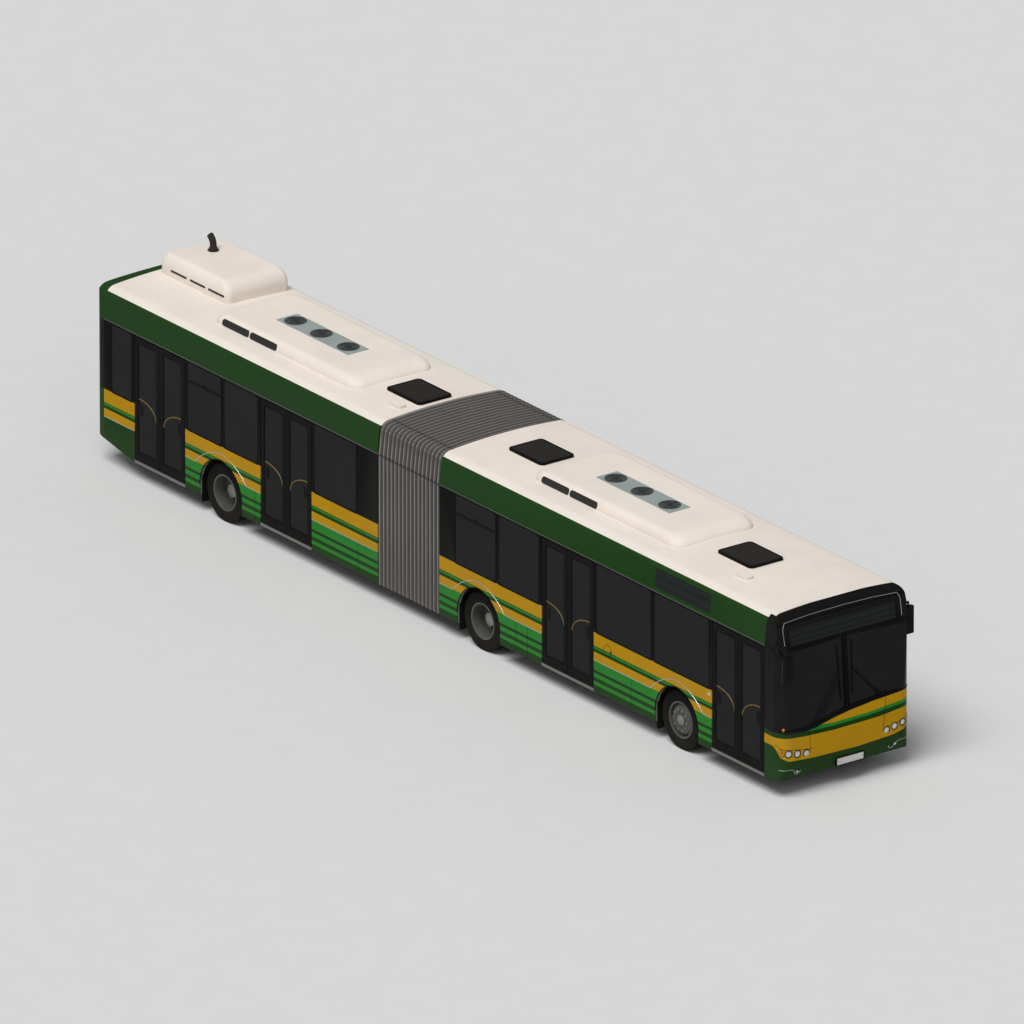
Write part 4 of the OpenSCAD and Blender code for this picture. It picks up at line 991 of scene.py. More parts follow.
def tail_x(y, z):
    """Face of the tail: the higher of its plan outline, a bow with round corners, and its side profile."""
    y, z = np.abs(np.asarray(y, float)), np.asarray(z, float)
    corner, radius = HALF_W - 0.23, 0.23
    bow = X_TAIL + 0.04 * (np.minimum(y, corner) / HALF_W) ** 2
    plan = bow + radius - np.sqrt(np.maximum(radius ** 2 - np.maximum(y - corner, 0) ** 2, 0))
    return np.maximum(plan, X_TAIL + np.interp(z, [1.5, 2.7, 2.95], [0.0, 0.055, 0.11]))


def tail_place(y, z):
    """Plane that touches the tail at (y, z), its normal out of the bus."""
    here = np.array([float(tail_x(y, z)), y, z])
    step = 0.004
    out = np.array([-1.0, (tail_x(y + step, z) - tail_x(y - step, z)) / (2 * step),
                    (tail_x(y, z + step) - tail_x(y, z - step)) / (2 * step)])
    out /= np.linalg.norm(out)
    across = np.cross((0, 0, 1.0), out)
    across /= np.linalg.norm(across)
    return plane(here, across, np.cross(out, across))


def soft_unit(middle, half, inset, corner, top, low, shift):
    """Roof unit: rings of rounded rectangles that stand on the crowned roof, go up to low, turn in over a
    quarter ellipse by inset and close on a flat top whose middle is moved along X by shift."""
    levels = [(0.0, None), (0.0, low)]
    levels += [(1 - math.cos(t), low + (top - low) * math.sin(t)) for t in np.linspace(0.1, math.pi / 2, 12)]
    rings = []
    for turned_in, height in levels:
        a, b = half[0] - inset[0] * turned_in, half[1] - inset[1] * turned_in
        outline = round_rect(-a, a, -b, b, corner - 0.3 * inset[1] * turned_in, 10)
        x = middle[0] + outline[:, 0] + shift * turned_in
        y = middle[1] + outline[:, 1]
        foot = roof_z(y) + 0.0004
        rings.append(np.column_stack([x, y, foot if height is None else np.full(len(y), height)]))
    centre = rings[-1].mean(axis=0)
    rings += [centre + (rings[-1] - centre) * share for share in (0.9, 0.5, 0.05)]
    return np.stack(rings)


class BUS_OT_roof_fittings(BuildStep, bpy.types.Operator):
    """Adds the fan plates, grilles and slots of the roof units, the rims of the hatches and the exhaust collar"""
    bl_idname = "bus.roof_fittings"
    bl_label = "Roof fittings"

    def build(self, sizes):
        deck = plane((0, 0, AC_TOP), (1, 0, 0), (0, 1, 0))
        for car in ("front", "rear"):
            low, high = ends(f"{car}_ac_unit")
            x = (low[0] + high[0]) / 2
            plate, wells, grilles, slots = Shells(), Shells(), Shells(), Shells()
            plate.add(slab(deck, round_rect(x - 0.97, x + 0.93, -0.22, 0.20, 0.02), -0.002, 0.006))
            for dx in (-0.73, -0.05, 0.66):
                centre = (x + dx, -0.01)
                wells.add(turned(deck, [(0.172, 0.004), (0.172, 0.0075), (0.168, 0.0085), (0.03, 0.0082)], centre, 40))
                for r in (0.178, 0.140, 0.104, 0.068):
                    ring = disc(*centre, r, 40)
                    inner = disc(*centre, r - 0.009, 40)
                    grilles.add(hoop(deck, ring, inner, 0.006, 0.016, 0.001), wrap=True)
                grilles.add(turned(deck, [(0.042, 0.006), (0.042, 0.016), (0.034, 0.020), (0.006, 0.021)], centre, 28))
                for k in range(8):
                    turn = math.pi * k / 4 + 0.2
                    ray = np.array([math.cos(turn), math.sin(turn), 0])
                    hub = np.array([*centre, AC_TOP + 0.013])
                    grilles.add(tube([hub + 0.03 * ray, hub + 0.1 * ray, hub + 0.176 * ray], 0.0042, 6))
            half = (high - low) / 2
            made = Shells().add(soft_unit((x, 0), half[:2], (0.25, 0.13), 0.22, AC_TOP, ROOF_Z - 0.03, -0.06))
            piece(f"{car}_roof_unit", made, f"{car}_car", [finish_of("roof_paint")],
                  replaces=[f"{car}_ac_unit"])
            for side in (-1, 1):
                def flank(a, b, n, side=side, half_y=half[1]):
                    y = half_y - 0.13 * (1 - np.sqrt(1 - ((b - ROOF_Z + 0.03) / (AC_TOP - ROOF_Z + 0.03)) ** 2))
                    return np.stack([-side * a, side * (y + n), b + 0 * n], -1)
                for start, end in ((x - 1.622, x - 0.918), (x - 0.895, x - 0.187)):
                    a0, a1 = sorted((-side * start, -side * end))
                    slots.add(slab(flank, round_rect(a0, a1, 3.022, 3.128, 0.045), -0.03, 0.006, 0.003))
            piece(f"{car}_fan_plate", plate, f"{car}_car", [finish_of("fan_plate")])
            piece(f"{car}_fan_wells", wells, f"{car}_car", [finish_of("fan_well")])
            piece(f"{car}_fan_grilles", grilles, f"{car}_car", [finish_of("fan_grey")])
            if car == "rear":
                low, high = ends("intake_pod")
                middle, half = (low + high) / 2, (high - low) / 2
                pod = Shells().add(soft_unit(middle[:2], half[:2], (0.19, 0.12), 0.11, POD_TOP, ROOF_Z + 0.1, -0.07))
                piece("roof_pod", pod, "rear_car", [finish_of("roof_paint")], replaces=["intake_pod"])
                flank = plane((0, low[1], 0), (1, 0, 0), (0, 0, 1))
                for start, end in ((0.38, 0.80), (0.89, 1.29), (1.37, 1.79)):
                    a = X_TAIL_JOINT
                    slots.add(slab(flank, round_rect(a + start, a + end, 3.135, 3.168, 0.015), -0.03, 0.006, 0.002))
            piece(f"{car}_unit_slots", slots, f"{car}_car", [finish_of("slot_black")])
        for node, middle in HATCHES.items():
            x, y = middle[0], middle[1]
            lid = plane((0, 0, HATCH_TOP), (1, 0, 0), (0, 1, 0))
            rim, pads = Shells(), Shells()
            outer = round_rect(x - 0.443, x + 0.443, y - 0.333, y + 0.333, 0.073, 8)
            inner = round_rect(x - 0.405, x + 0.405, y - 0.295, y + 0.295, 0.05, 8)
            rim.add(hoop(lid, outer, inner, -0.034, 0.003, 0.0025), wrap=True)
            for side in (-1, 1):
                pads.add(slab(lid, round_rect(x - 0.37, x + 0.37, y + side * 0.14 - 0.115, y + side * 0.14 + 0.115, 0.03),
                              -0.002, 0.005, 0.003))
            body = f"{node}_lid"
            piece(f"{node}_rim", rim, body, [finish_of("rubber")])
            piece(f"{node}_pressings", pads, body, [finish_of("hatch_plastic")])
        low, high = ends("exhaust_pipe")
        centre = (high[0] - 0.055, (low[1] + high[1]) / 2)
        top = plane((0, 0, POD_TOP), (1, 0, 0), (0, 1, 0))
        collar = Shells().add(hoop(top, disc(*centre, 0.092, 36), disc(*centre, 0.0555, 36), -0.001, 0.012, 0.003),
                              wrap=True)
        collar.add(hoop(top, disc(*centre, 0.068, 36), disc(*centre, 0.0555, 36), 0.012, 0.05, 0.004), wrap=True)
        for k in range(6):
            turn = math.pi * k / 3
            bolt = (centre[0] + 0.08 * math.cos(turn), centre[1] + 0.08 * math.sin(turn))
            collar.add(slab(top, disc(*bolt, 0.007, 6), 0.010, 0.018, 0.001))
        piece("exhaust_collar", collar, "rear_car", [finish_of("exhaust_steel")])


def skirt_line(x0, x1, side):
    """Bright strip along the skirt that rises over each wheel arch between x0 and x1 as an arc round the axle."""
    height, radius, flare = 0.82, ARCH_R + 0.11, 0.19
    lean = math.asin((height - WHEEL_R) / (radius * (1 + 0.6 * flare)))
    points = [[(x0, height)]]
    for x in sorted(AXLE_X):
        if x0 < x < x1:
            turn = np.linspace(math.pi - lean, lean, 26)
            reach = radius * (1 + flare * np.cos(turn) ** 4)
            points.append(np.stack([x + reach * np.cos(turn), WHEEL_R + reach * np.sin(turn)], 1))
    points.append([(x1, height)])
    line = np.concatenate([np.asarray(p, float) for p in points])
    return np.column_stack([line[:, 0], np.full(len(line), side * (HALF_W + 0.0005)), line[:, 1]])


class BUS_OT_side_trims(BuildStep, bpy.types.Operator):
    """Adds the bright skirt strips, arch edges, mud flaps, panel joints, filler flap and side grille"""
    bl_idname = "bus.side_trims"
    bl_label = "Side trims"

    def build(self, sizes):
        skirts = {("front", -1): [(X_FRONT_END, DOOR_REAR[1]), (DOOR_FRONT[1], DOOR_REAR[0])],
                  ("front", 1): [(X_FRONT_END, DOOR_FRONT[0])],
                  ("rear", -1): [(X_TAIL_JOINT, DOOR_REAR[3]), (DOOR_FRONT[3], DOOR_REAR[2]),
                                 (DOOR_FRONT[2], X_REAR_START)],
                  ("rear", 1): [(X_TAIL_JOINT, X_REAR_START)]}
        joints = {("front", -1): (1.98, 2.28, 4.98), ("front", 1): (1.98, 3.2, 4.4, 5.28, 7.3),
                  ("rear", -1): (-2.145, -4.86), ("rear", 1): (-2.3, -3.5, -4.7, -6.7)}
        arches = {"front": AXLE_X[:2], "rear": AXLE_X[2:]}
        for car in ("front", "rear"):
            strips, edges, seams, flaps = Shells(), Shells(), Shells(), Shells()
            for side in (-1, 1):
                for x0, x1 in skirts[car, side]:
                    strips.add(tube(skirt_line(x0 + 0.004, x1 - 0.004, side), sizes.trim_w / 2, 8, 0.5))
                for x in joints[car, side]:
                    y = side * (HALF_W + 0.0002)
                    seams.add(tube([(x, y, SKIRT_Z + 0.004), (x, y, 0.55), (x, y, 0.812)], 0.0028, 6))
                for x in arches[car]:
                    turn = np.linspace(math.pi, 0, 40)
                    arc = np.stack([x + ARCH_R * np.cos(turn), np.full(40, side * (HALF_W - 0.004)),
                                    WHEEL_R + ARCH_R * np.sin(turn)], 1)
                    foot = SKIRT_Z + 0.012
                    line = np.concatenate([[(x - ARCH_R, arc[0, 1], foot)], arc, [(x + ARCH_R, arc[0, 1], foot)]])
                    edges.add(tube(line, 0.0085, 8))
                    back = plane((x - ARCH_R + 0.012, 0, 0), (0, 1, 0), (0, 0, 1))
                    y0, y1 = sorted((side * 0.95, side * 1.24))
                    flaps.add(slab(back, round_rect(y0, y1, 0.17, 0.72, 0.02), 0, 0.008, 0.002))
            body = f"{car}_car"
            piece(f"{car}_skirt_strips", strips, body, [finish_of("bright_trim")])
            piece(f"{car}_arch_edges", edges, body, [finish_of("rubber")])
            piece(f"{car}_skirt_joints", seams, body, [finish_of("rubber")])
            piece(f"{car}_mud_flaps", flaps, body, [finish_of("rubber")])
        right, left = side_plane(-1), side_plane(1)
        filler = Shells().add(hoop(right, disc(4.355, 1.08, 0.10, 40), disc(4.355, 1.08, 0.094, 40), -0.002, 0.0025,
                                   0.001), wrap=True)
        filler.add(slab(right, round_rect(4.425, 4.445, 1.065, 1.095, 0.006), -0.002, 0.006, 0.002))
        piece("filler_flap_ring", filler, "front_car", [finish_of("black_plastic")])
        marker = Shells().add(slab(right, round_rect(6.935, 6.995, 1.178, 1.236, 0.008), -0.002, 0.005, 0.002))
        piece("side_marker", marker, "front_car", [finish_of("lamp_chrome")])
        grille, slats = Shells(), Shells()
        a0, a1, b0, b1 = 7.72, 8.48, 0.90, 1.24
        grille.add(slab(left, round_rect(a0, a1, b0, b1, 0.03), -0.002, 0.003, 0.001))
        slats.add(hoop(left, round_rect(a0 - 0.012, a1 + 0.012, b0 - 0.012, b1 + 0.012, 0.04),
                       round_rect(a0 + 0.01, a1 - 0.01, b0 + 0.01, b1 - 0.01, 0.02), -0.002, 0.010), wrap=True)
        for b in np.linspace(b0 + 0.03, b1 - 0.03, 9):
            slats.add(tube([(-(a0 + 0.01), HALF_W + 0.006, b), (-(a0 + a1) / 2, HALF_W + 0.006, b),
                            (-(a1 - 0.01), HALF_W + 0.006, b)], 0.010, 8, 0.5))
        piece("engine_side_grille", grille, "rear_car", [finish_of("slot_black")])
        piece("engine_side_slats", slats, "rear_car", [finish_of("black_plastic")])


def nose_line(points, out=0.0015, steps=14):
    """Points (y, z) joined by straight legs over the nose's face."""
    points = np.array(points, float)
    share = np.linspace(0, len(points) - 1, steps * (len(points) - 1) + 1)
    y = np.interp(share, np.arange(len(points)), points[:, 0])
    z = np.interp(share, np.arange(len(points)), points[:, 1])
    return on_nose(y, z, out)


class BUS_OT_front_end(BuildStep, bpy.types.Operator):
    """Adds the lamps, wipers, plate, joints and trims of the nose and the glass of the mirrors"""
    bl_idname = "bus.front_end"
    bl_label = "Front end"

    def build(self, sizes):
        lens, bezel, amber = Shells(), Shells(), Shells()
        for y, z, r in ((-1.117, 0.751, 0.052), (-0.954, 0.726, 0.054), (-0.784, 0.70, 0.054), (0.762, 0.712, 0.054),
                        (0.922, 0.743, 0.054), (1.085, 0.769, 0.052), (-0.908, 0.40, 0.032), (0.977, 0.412, 0.032)):
            place = nose_place(y, z)
            bezel.add(hoop(place, disc(0, 0, r + 0.012, 32), disc(0, 0, r - 0.003, 32), -0.012, 0.006, 0.003), wrap=True)
            lens.add(turned(place, [(r - 0.002, -0.010), (r - 0.002, 0.001), (r * 0.8, 0.006), (r * 0.45, 0.009),
                                    (r * 0.05, 0.010)], sides=32))
        for y, z in ((-1.215, 0.80), (-1.20, 0.735), (1.215, 0.81), (1.20, 0.745)):
            place = nose_place(y, z)
            bezel.add(hoop(place, disc(0, 0, 0.026, 20), disc(0, 0, 0.019, 20), -0.008, 0.004, 0.001), wrap=True)
            amber.add(turned(place, [(0.020, -0.006), (0.020, 0.001), (0.014, 0.005), (0.002, 0.006)], sides=20))
        place = nose_place(-1.19, 1.15)
        amber.add(slab(place, round_rect(-0.018, 0.018, -0.03, 0.03, 0.012), -0.004, 0.005))
        piece("nose_lamp_lenses", lens, "front_car", [finish_of("lamp_chrome")])
        piece("nose_lamp_bezels", bezel, "front_car", [finish_of("black_plastic")])
        piece("nose_turn_lamps", amber, "front_car", [finish_of("lamp_amber")])
        seams = Shells()
        for line in ([(-1.265, 0.90), (-1.22, 0.835), (-0.75, 0.765), (-0.27, 0.71), (0.32, 0.725), (0.71, 0.75),
                      (1.22, 0.84), (1.265, 0.90)],
                     [(-0.73, 1.04), (-0.715, 0.80), (-0.69, 0.63), (-0.55, 0.31)],
                     [(0.75, 1.27), (0.72, 1.0), (0.68, 0.62), (0.64, 0.31)]):
            seams.add(tube(nose_line(line, 0.0002), 0.0032, 6))
        piece("nose_panel_joints", seams, "front_car", [finish_of("rubber")])
        trims = Shells()
        for side in (-1, 1):
            trims.add(tube(nose_line([(side * 1.235, 0.485), (side * 1.05, 0.468), (side * 0.985, 0.445),
                                      (side * 0.955, 0.375), (side * 0.90, 0.352), (side * 0.86, 0.385),
                                      (side * 0.855, 0.42)], 0.002, 5), 0.006, 8))
        arch = [(-1.13, 2.50), (-1.135, 2.78), (-1.09, 2.865), (-0.6, 2.892), (0, 2.90), (0.6, 2.892), (1.09, 2.865),
                (1.135, 2.78), (1.13, 2.50)]
        trims.add(tube(nose_line(arch, 0.002), 0.0045, 8))
        piece("nose_bright_trims", trims, "front_car", [finish_of("bright_trim")])
        bars = Shells()
        bars.add(tube(nose_line([(0, 1.30), (0, 1.8), (0, 2.43)], 0.002), 0.016, 10))
        bars.add(tube(nose_line([(-1.2, 2.43), (-0.4, 2.46), (0.4, 2.46), (1.2, 2.43)], 0.003), 0.014, 10))
        lip = [(-1.24, 1.135), (-0.8, 1.12), (-0.45, 1.175), (0.0, 1.275), (0.5, 1.32), (1.24, 1.318)]
        bars.add(tube(nose_line(lip, 0.001), 0.010, 10))
        piece("windscreen_bars", bars, "front_car", [finish_of("black_gloss")])
        wipers = Shells()
        for pivot, tip, low, high in (((-0.66, 1.135), (-0.14, 1.86), (-0.115, 1.42), (-0.155, 2.32)),
                                      ((0.62, 1.345), (0.13, 1.90), (0.105, 1.48), (0.14, 2.34))):
            arm = nose_line([pivot, tip], 0.030)
            rod = nose_line([(pivot[0] + 0.05, pivot[1] - 0.005), (tip[0] + 0.02, tip[1] - 0.05)], 0.026)
            wipers.add(tube(arm, np.linspace(0.011, 0.007, len(arm)), 8))
            wipers.add(tube(rod, 0.006, 8))
            blade = nose_line([low, high], 0.016)
            wipers.add(tube(blade, sizes.wiper_w / 2, 8, 0.55))
            wipers.add(tube(nose_line([low, high], 0.006), 0.004, 6))
            for at in (pivot, (pivot[0] + 0.05, pivot[1] - 0.005)):
                wipers.add(turned(nose_place(*at), [(0.024, -0.004), (0.024, 0.018), (0.018, 0.034), (0.004, 0.037)],
                                  sides=20))
            wipers.add(turned(nose_place(*tip), [(0.013, 0.008), (0.013, 0.034), (0.010, 0.038)], sides=14))
        piece("windscreen_wipers", wipers, "front_car", [finish_of("black_plastic")])
        x = float(nose_x(0.1, 0.46)) + 0.006
        stand = plane((x, 0, 0), (0, 1, 0), (0, 0, 1))
        plate = Shells().add(slab(stand, round_rect(-0.165, 0.355, 0.325, 0.445, 0.012), 0.002, 0.006, 0.001))
        piece("front_plate", plate, "front_car", [finish_of("plate_white")])
        holder = Shells().add(hoop(stand, round_rect(-0.178, 0.368, 0.312, 0.458, 0.016),
                                   round_rect(-0.160, 0.350, 0.330, 0.440, 0.010), -0.03, 0.010, 0.002), wrap=True)
        holder.add(slab(stand, round_rect(-0.17, 0.36, 0.32, 0.45, 0.012), -0.03, 0.0025, 0.001))
        for y in (-0.14, 0.33):
            holder.add(turned(stand, [(0.007, 0.004), (0.007, 0.008), (0.004, 0.009)], (y, 0.385), 12))
        piece("front_plate_holder", holder, "front_car", [finish_of("black_plastic")])
        low, high = ends("mirrors")
        glasses, stays = Shells(), Shells()
        for x, y, z in ((high[0] - 0.05, low[1] + 0.095, 2.08), (X_NOSE - 0.28, high[1] - 0.095, 2.10)):
            face = plane((x - 0.05, y, z), (0, -1, 0), (0, 0, 1))
            glasses.add(slab(face, round_rect(-0.078, 0.078, 0.16, 0.415, 0.03), -0.002, 0.004, 0.001))
            glasses.add(slab(face, round_rect(-0.078, 0.078, 0.025, 0.14, 0.03), -0.002, 0.004, 0.001))
            stays.add(hoop(face, round_rect(-0.088, 0.088, 0.012, 0.43, 0.036), round_rect(-0.08, 0.08, 0.02, 0.422, 0.03),
                           -0.004, 0.008, 0.001), wrap=True)
        x, y = high[0] - 0.05, low[1] + 0.095
        stays.add(tube(rounded_path([(X_NOSE - 0.36, -HALF_W + 0.075, 2.60), (X_NOSE + 0.02, y + 0.06, 2.585),
                                     (x - 0.012, y + 0.004, 2.555)]), 0.022, 12))
        stays.add(tube(rounded_path([(X_NOSE - 0.30, HALF_W - 0.05, 2.54), (X_NOSE - 0.29, high[1] - 0.12, 2.55),
                                     (X_NOSE - 0.28, high[1] - 0.10, 2.56)]), 0.012, 10))
        piece("mirror_glasses", glasses, "front_car", [finish_of("mirror_glass")])
        piece("mirror_stays", stays, "front_car", [finish_of("black_plastic")])


class BUS_OT_back_end(BuildStep, bpy.types.Operator):
    """Adds the lamp columns, window rubber, plate and marker lamps of the tail and the louvres of the engine flap"""
    bl_idname = "bus.back_end"
    bl_label = "Back end"

    def build(self, sizes):
        panel, red, amber, clear = Shells(), Shells(), Shells(), Shells()
        for side in (-1, 1):
            place = tail_place(side * 1.075, 1.05)
            panel.add(slab(place, round_rect(-0.078, 0.078, -0.36, 0.36, 0.06), -0.03, 0.006, 0.004))
            for b, shells in ((-0.27, clear), (-0.09, red), (0.09, amber), (0.27, red)):
                shells.add(turned(place, [(0.062, 0.003), (0.062, 0.012), (0.05, 0.018), (0.02, 0.021), (0.003, 0.0215)],
                                  (0, b), 36))
                panel.add(hoop(place, disc(0, b, 0.071, 36), disc(0, b, 0.0615, 36), 0.002, 0.013, 0.002), wrap=True)
            top = tail_place(side * 1.0, 2.62)
            red.add(slab(top, round_rect(-0.06, 0.06, -0.018, 0.018, 0.015), -0.004, 0.010))
        red.add(slab(tail_place(0, 2.5), round_rect(-0.20, 0.20, -0.014, 0.014, 0.012), -0.006, 0.010))
        piece("tail_lamp_panels", panel, "rear_car", [finish_of("black_plastic")])
        piece("tail_red_lamps", red, "rear_car", [finish_of("lamp_red")])
        piece("tail_amber_lamps", amber, "rear_car", [finish_of("lamp_amber")])
        piece("tail_reverse_lamps", clear, "rear_car", [finish_of("lamp_chrome")])
        back = plane((X_TAIL, 0, 0), (0, -1, 0), (0, 0, 1))
        rubber = Shells()

        def over_glass(a, b, n):
            points = back(a, b, n)
            points[..., 0] += tail_x(a, b) - X_TAIL
            return points
        rubber.add(hoop(over_glass, round_rect(-0.862, 0.862, 1.548, 2.342, 0.05, 9),
                        round_rect(-0.825, 0.825, 1.585, 2.305, 0.04, 9), -0.02, 0.006, 0.003), wrap=True)
        piece("rear_window_rubber", rubber, "rear_car", [finish_of("rubber")])
        plate = Shells().add(slab(back, round_rect(-0.26, 0.26, 0.515, 0.625, 0.012), 0.004, 0.008, 0.001))
        piece("rear_plate", plate, "rear_car", [finish_of("plate_white")])
        holder = Shells().add(slab(back, round_rect(-0.275, 0.275, 0.506, 0.634, 0.014), -0.02, 0.005, 0.002))
        piece("rear_plate_holder", holder, "rear_car", [finish_of("black_plastic")])
        well, slats = Shells(), Shells()
        a1, b0, b1 = 0.72, 0.78, 1.26
        well.add(slab(over_glass, round_rect(-a1, a1, b0, b1, 0.04, 9), -0.004, 0.003, 0.001))
        slats.add(hoop(over_glass, round_rect(-a1 - 0.012, a1 + 0.012, b0 - 0.012, b1 + 0.012, 0.05, 9),
                       round_rect(-a1 + 0.012, a1 - 0.012, b0 + 0.012, b1 - 0.012, 0.03, 9), -0.004, 0.010), wrap=True)
        y = np.linspace(-a1 + 0.012, a1 - 0.012, 21)
        for z in np.linspace(b0 + 0.035, b1 - 0.035, 10):
            slats.add(tube(np.stack([tail_x(y, z) - 0.006, y, np.full(21, z)], 1), 0.014, 8, 0.5))
        for side in (-1, 1):
            slats.add(slab(over_glass, round_rect(side * 0.8 - 0.03, side * 0.8 + 0.03, 0.70, 0.735, 0.012), -0.002, 0.012))
        piece("engine_flap_well", well, "engine_flap_lid", [finish_of("slot_black")])
        piece("engine_flap_louvres", slats, "engine_flap_lid", [finish_of("black_plastic")])


class BUS_OT_engine_bay(BuildStep, bpy.types.Operator):
    """Adds pulleys, belt, hoses and cover ribs to the engine behind its flap"""
    bl_idname = "bus.engine_bay"
    bl_label = "Engine bay"

    def build(self, sizes):
        low, high = ends("engine")
        face = plane((low[0], 0, 0), (0, -1, 0), (0, 0, 1))
        iron, belt, hoses = Shells(), Shells(), Shells()
        middle = -(low[1] + high[1]) / 2
        wheels = ((middle, 0.72, 0.13), (middle - 0.22, 1.02, 0.07), (middle + 0.20, 1.08, 0.085))
        for a, b, r in wheels:
            profile = [(r, 0.002), (r, 0.018), (r - 0.012, 0.024), (r, 0.030), (r, 0.046), (r - 0.02, 0.050),
                       (r * 0.45, 0.044), (r * 0.35, 0.058), (r * 0.05, 0.060)]
            iron.add(turned(face, profile, (a, b), 40))
        centre = np.mean([w[:2] for w in wheels], axis=0)
        turn = np.linspace(0, 2 * math.pi, 120, endpoint=False)
        away = np.stack([np.cos(turn), np.sin(turn)], 1)
        reach = [max(np.dot(np.subtract(w[:2], centre), way) + w[2] for w in wheels) for way in away]
        slope = (np.roll(reach, -1) - np.roll(reach, 1)) / (2 * turn[1])
        loop = centre + np.array(reach)[:, None] * away + slope[:, None] * np.stack([-away[:, 1], away[:, 0]], 1)
        ahead = away * 0.006
        belt.add(hoop(face, loop + ahead, loop - 0 * ahead, 0.018, 0.030, 0.001), wrap=True)
        for b in np.linspace(1.24, 1.44, 6):
            iron.add(slab(face, round_rect(-high[1] + 0.06, -low[1] - 0.06, b - 0.009, b + 0.009, 0.008), -0.002, 0.022))
        iron.add(slab(face, round_rect(middle - 0.30, middle + 0.30, 0.40, 0.56, 0.05), -0.002, 0.045, 0.01))
        for k, y in enumerate((low[1] + 0.06, low[1] + 0.13)):
            x = low[0] - 0.05
            hoses.add(tube(rounded_path([(low[0] + 0.004, y, 1.16), (x, y, 1.12), (x - 0.01, y + 0.02, 0.8 - 0.1 * k),
                                         (x, y + 0.10, 0.62 - 0.1 * k), (low[0] + 0.004, y + 0.14, 0.60 - 0.1 * k)]),
                           0.022, 12))
        piece("engine_pulleys", iron, "rear_car", [finish_of("engine_iron")])
        piece("engine_belt", belt, "rear_car", [finish_of("rubber")])
        piece("engine_hoses", hoses, "rear_car", [finish_of("rubber")])


def cushion(place, half_a, half_b, low, high, centre=(0, 0)):
    """Crowned pad: superellipse rings whose sides pull in between the corners, rising to a crown with two
    sewn channels pressed in across it."""
    turn = np.linspace(0, 2 * math.pi, 40, endpoint=False)
    c, s = np.cos(turn), np.sin(turn)
    power = 2 / 4.5
    a = np.sign(c) * np.abs(c) ** power * (1 - 0.025 * np.cos(2 * turn) ** 4)
    b = np.sign(s) * np.abs(s) ** power * (1 - 0.025 * np.cos(2 * turn) ** 4)
    shape = [(0.90, 0.0), (0.98, 0.10), (1.0, 0.32), (0.985, 0.58), (0.94, 0.78), (0.80, 0.90), (0.55, 0.97),
             (0.28, 1.0), (0.03, 1.0)]
    rings = []
    for size, rise in shape:
        across, along = size * half_a * a, size * half_b * b
        channel = np.exp(-((np.abs(along) - half_b / 3) / 0.008) ** 2)
        height = low + (high - low) * rise - 0.006 * channel * (rise > 0.7)
        rings.append(place(centre[0] + across, centre[1] + along, height))
    return np.stack(rings)


class BUS_OT_interior(BuildStep, bpy.types.Operator):
    """Makes the passengers' and driver's seats: moulded shells on tube legs with cloth pads"""
    bl_idname = "bus.interior"
    bl_label = "Interior"

    def build(self, sizes):
        floor = ends("front_handrails")[0][2]
        inner = HALF_W - 0.06
        rows = {"front": [(AXLE_X[0] - 1.0 - 0.78 * i, side) for i, side in ((0, 1), (1, 1), (2, 1), (3, 1), (0, -1))],
                "rear": [(X_REAR_START - 0.7 - 0.78 * i, side) for i, side in ((0, 1), (1, 1), (2, 1), (3, 1), (0, -1))]}
        for car in ("front", "rear"):
            spots = [(x, side * (inner - 0.245 - 0.45 * k), floor) for x, side in rows[car] for k in (0, 1)]
            if car == "front":
                spots.append((AXLE_X[0] + 1.4, 0.72, floor + 0.25))
            shells, pads = Shells(), Shells()
            for x, y, z in spots:
                flat = plane((x, y, z), (1, 0, 0), (0, 1, 0))
                upright = plane((x, y, z), (0, 1, 0), (0, 0, 1))
                shells.add(slab(flat, round_rect(-0.235, 0.22, -0.21, 0.21, 0.06), 0.398, 0.414, 0.006))
                shells.add(slab(upright, round_rect(-0.21, 0.21, 0.41, 1.045, 0.08), -0.25, -0.236, 0.006))
                for side in (-1, 1):
                    shells.add(tube(rounded_path([(x - 0.17, y + side * 0.04, z + 0.008), (x - 0.15, y + side * 0.04, z + 0.39),
                                                  (x + 0.17, y + side * 0.04, z + 0.39)]), 0.015, 10))
                shells.add(slab(flat, round_rect(-0.20, -0.13, -0.06, 0.06, 0.01), 0.001, 0.012))
                rail = np.array([(x - 0.243, y - 0.16, z + 1.03), (x - 0.243, y - 0.12, z + 1.048),
                                 (x - 0.243, y + 0.12, z + 1.048), (x - 0.243, y + 0.16, z + 1.03)])
                shells.add(tube(rounded_path(rail), 0.008, 8))
                pads.add(cushion(flat, 0.205, 0.195, 0.414, 0.449))
                pads.add(cushion(upright, 0.19, 0.27, -0.236, -0.206, (0, 0.72)))
            body = f"{car}_car"
            piece(f"{car}_seat_shells", shells, body, [finish_of("seat_shell")],
                  replaces=[f"{car}_seats"])
            made = piece(f"{car}_seat_pads", pads, body, [finish_of("seat_cloth")])
        collars = {"front": Shells(), "rear": Shells()}
        for car, xs in (("front", (AXLE_X[0] - 0.7, DOOR_REAR[1] - 0.35, DOOR_REAR[1] - 1.5)),
                        ("rear", (X_REAR_START - 0.35, DOOR_REAR[2] - 0.3, DOOR_FRONT[3] + 0.25))):
            for x in xs:
                for y in (-0.33, 0.33):
                    foot = plane((x, y, floor), (1, 0, 0), (0, 1, 0))
                    collars[car].add(hoop(foot, disc(0, 0, 0.034, 20), disc(0, 0, 0.0172, 20), 0.0, 0.012, 0.003), wrap=True)
                    collars[car].add(hoop(foot, disc(0, 0, 0.026, 20), disc(0, 0, 0.0172, 20), 1.53, 1.59, 0.004), wrap=True)
            piece(f"{car}_rail_collars", collars[car], f"{car}_car", [finish_of("black_plastic")])


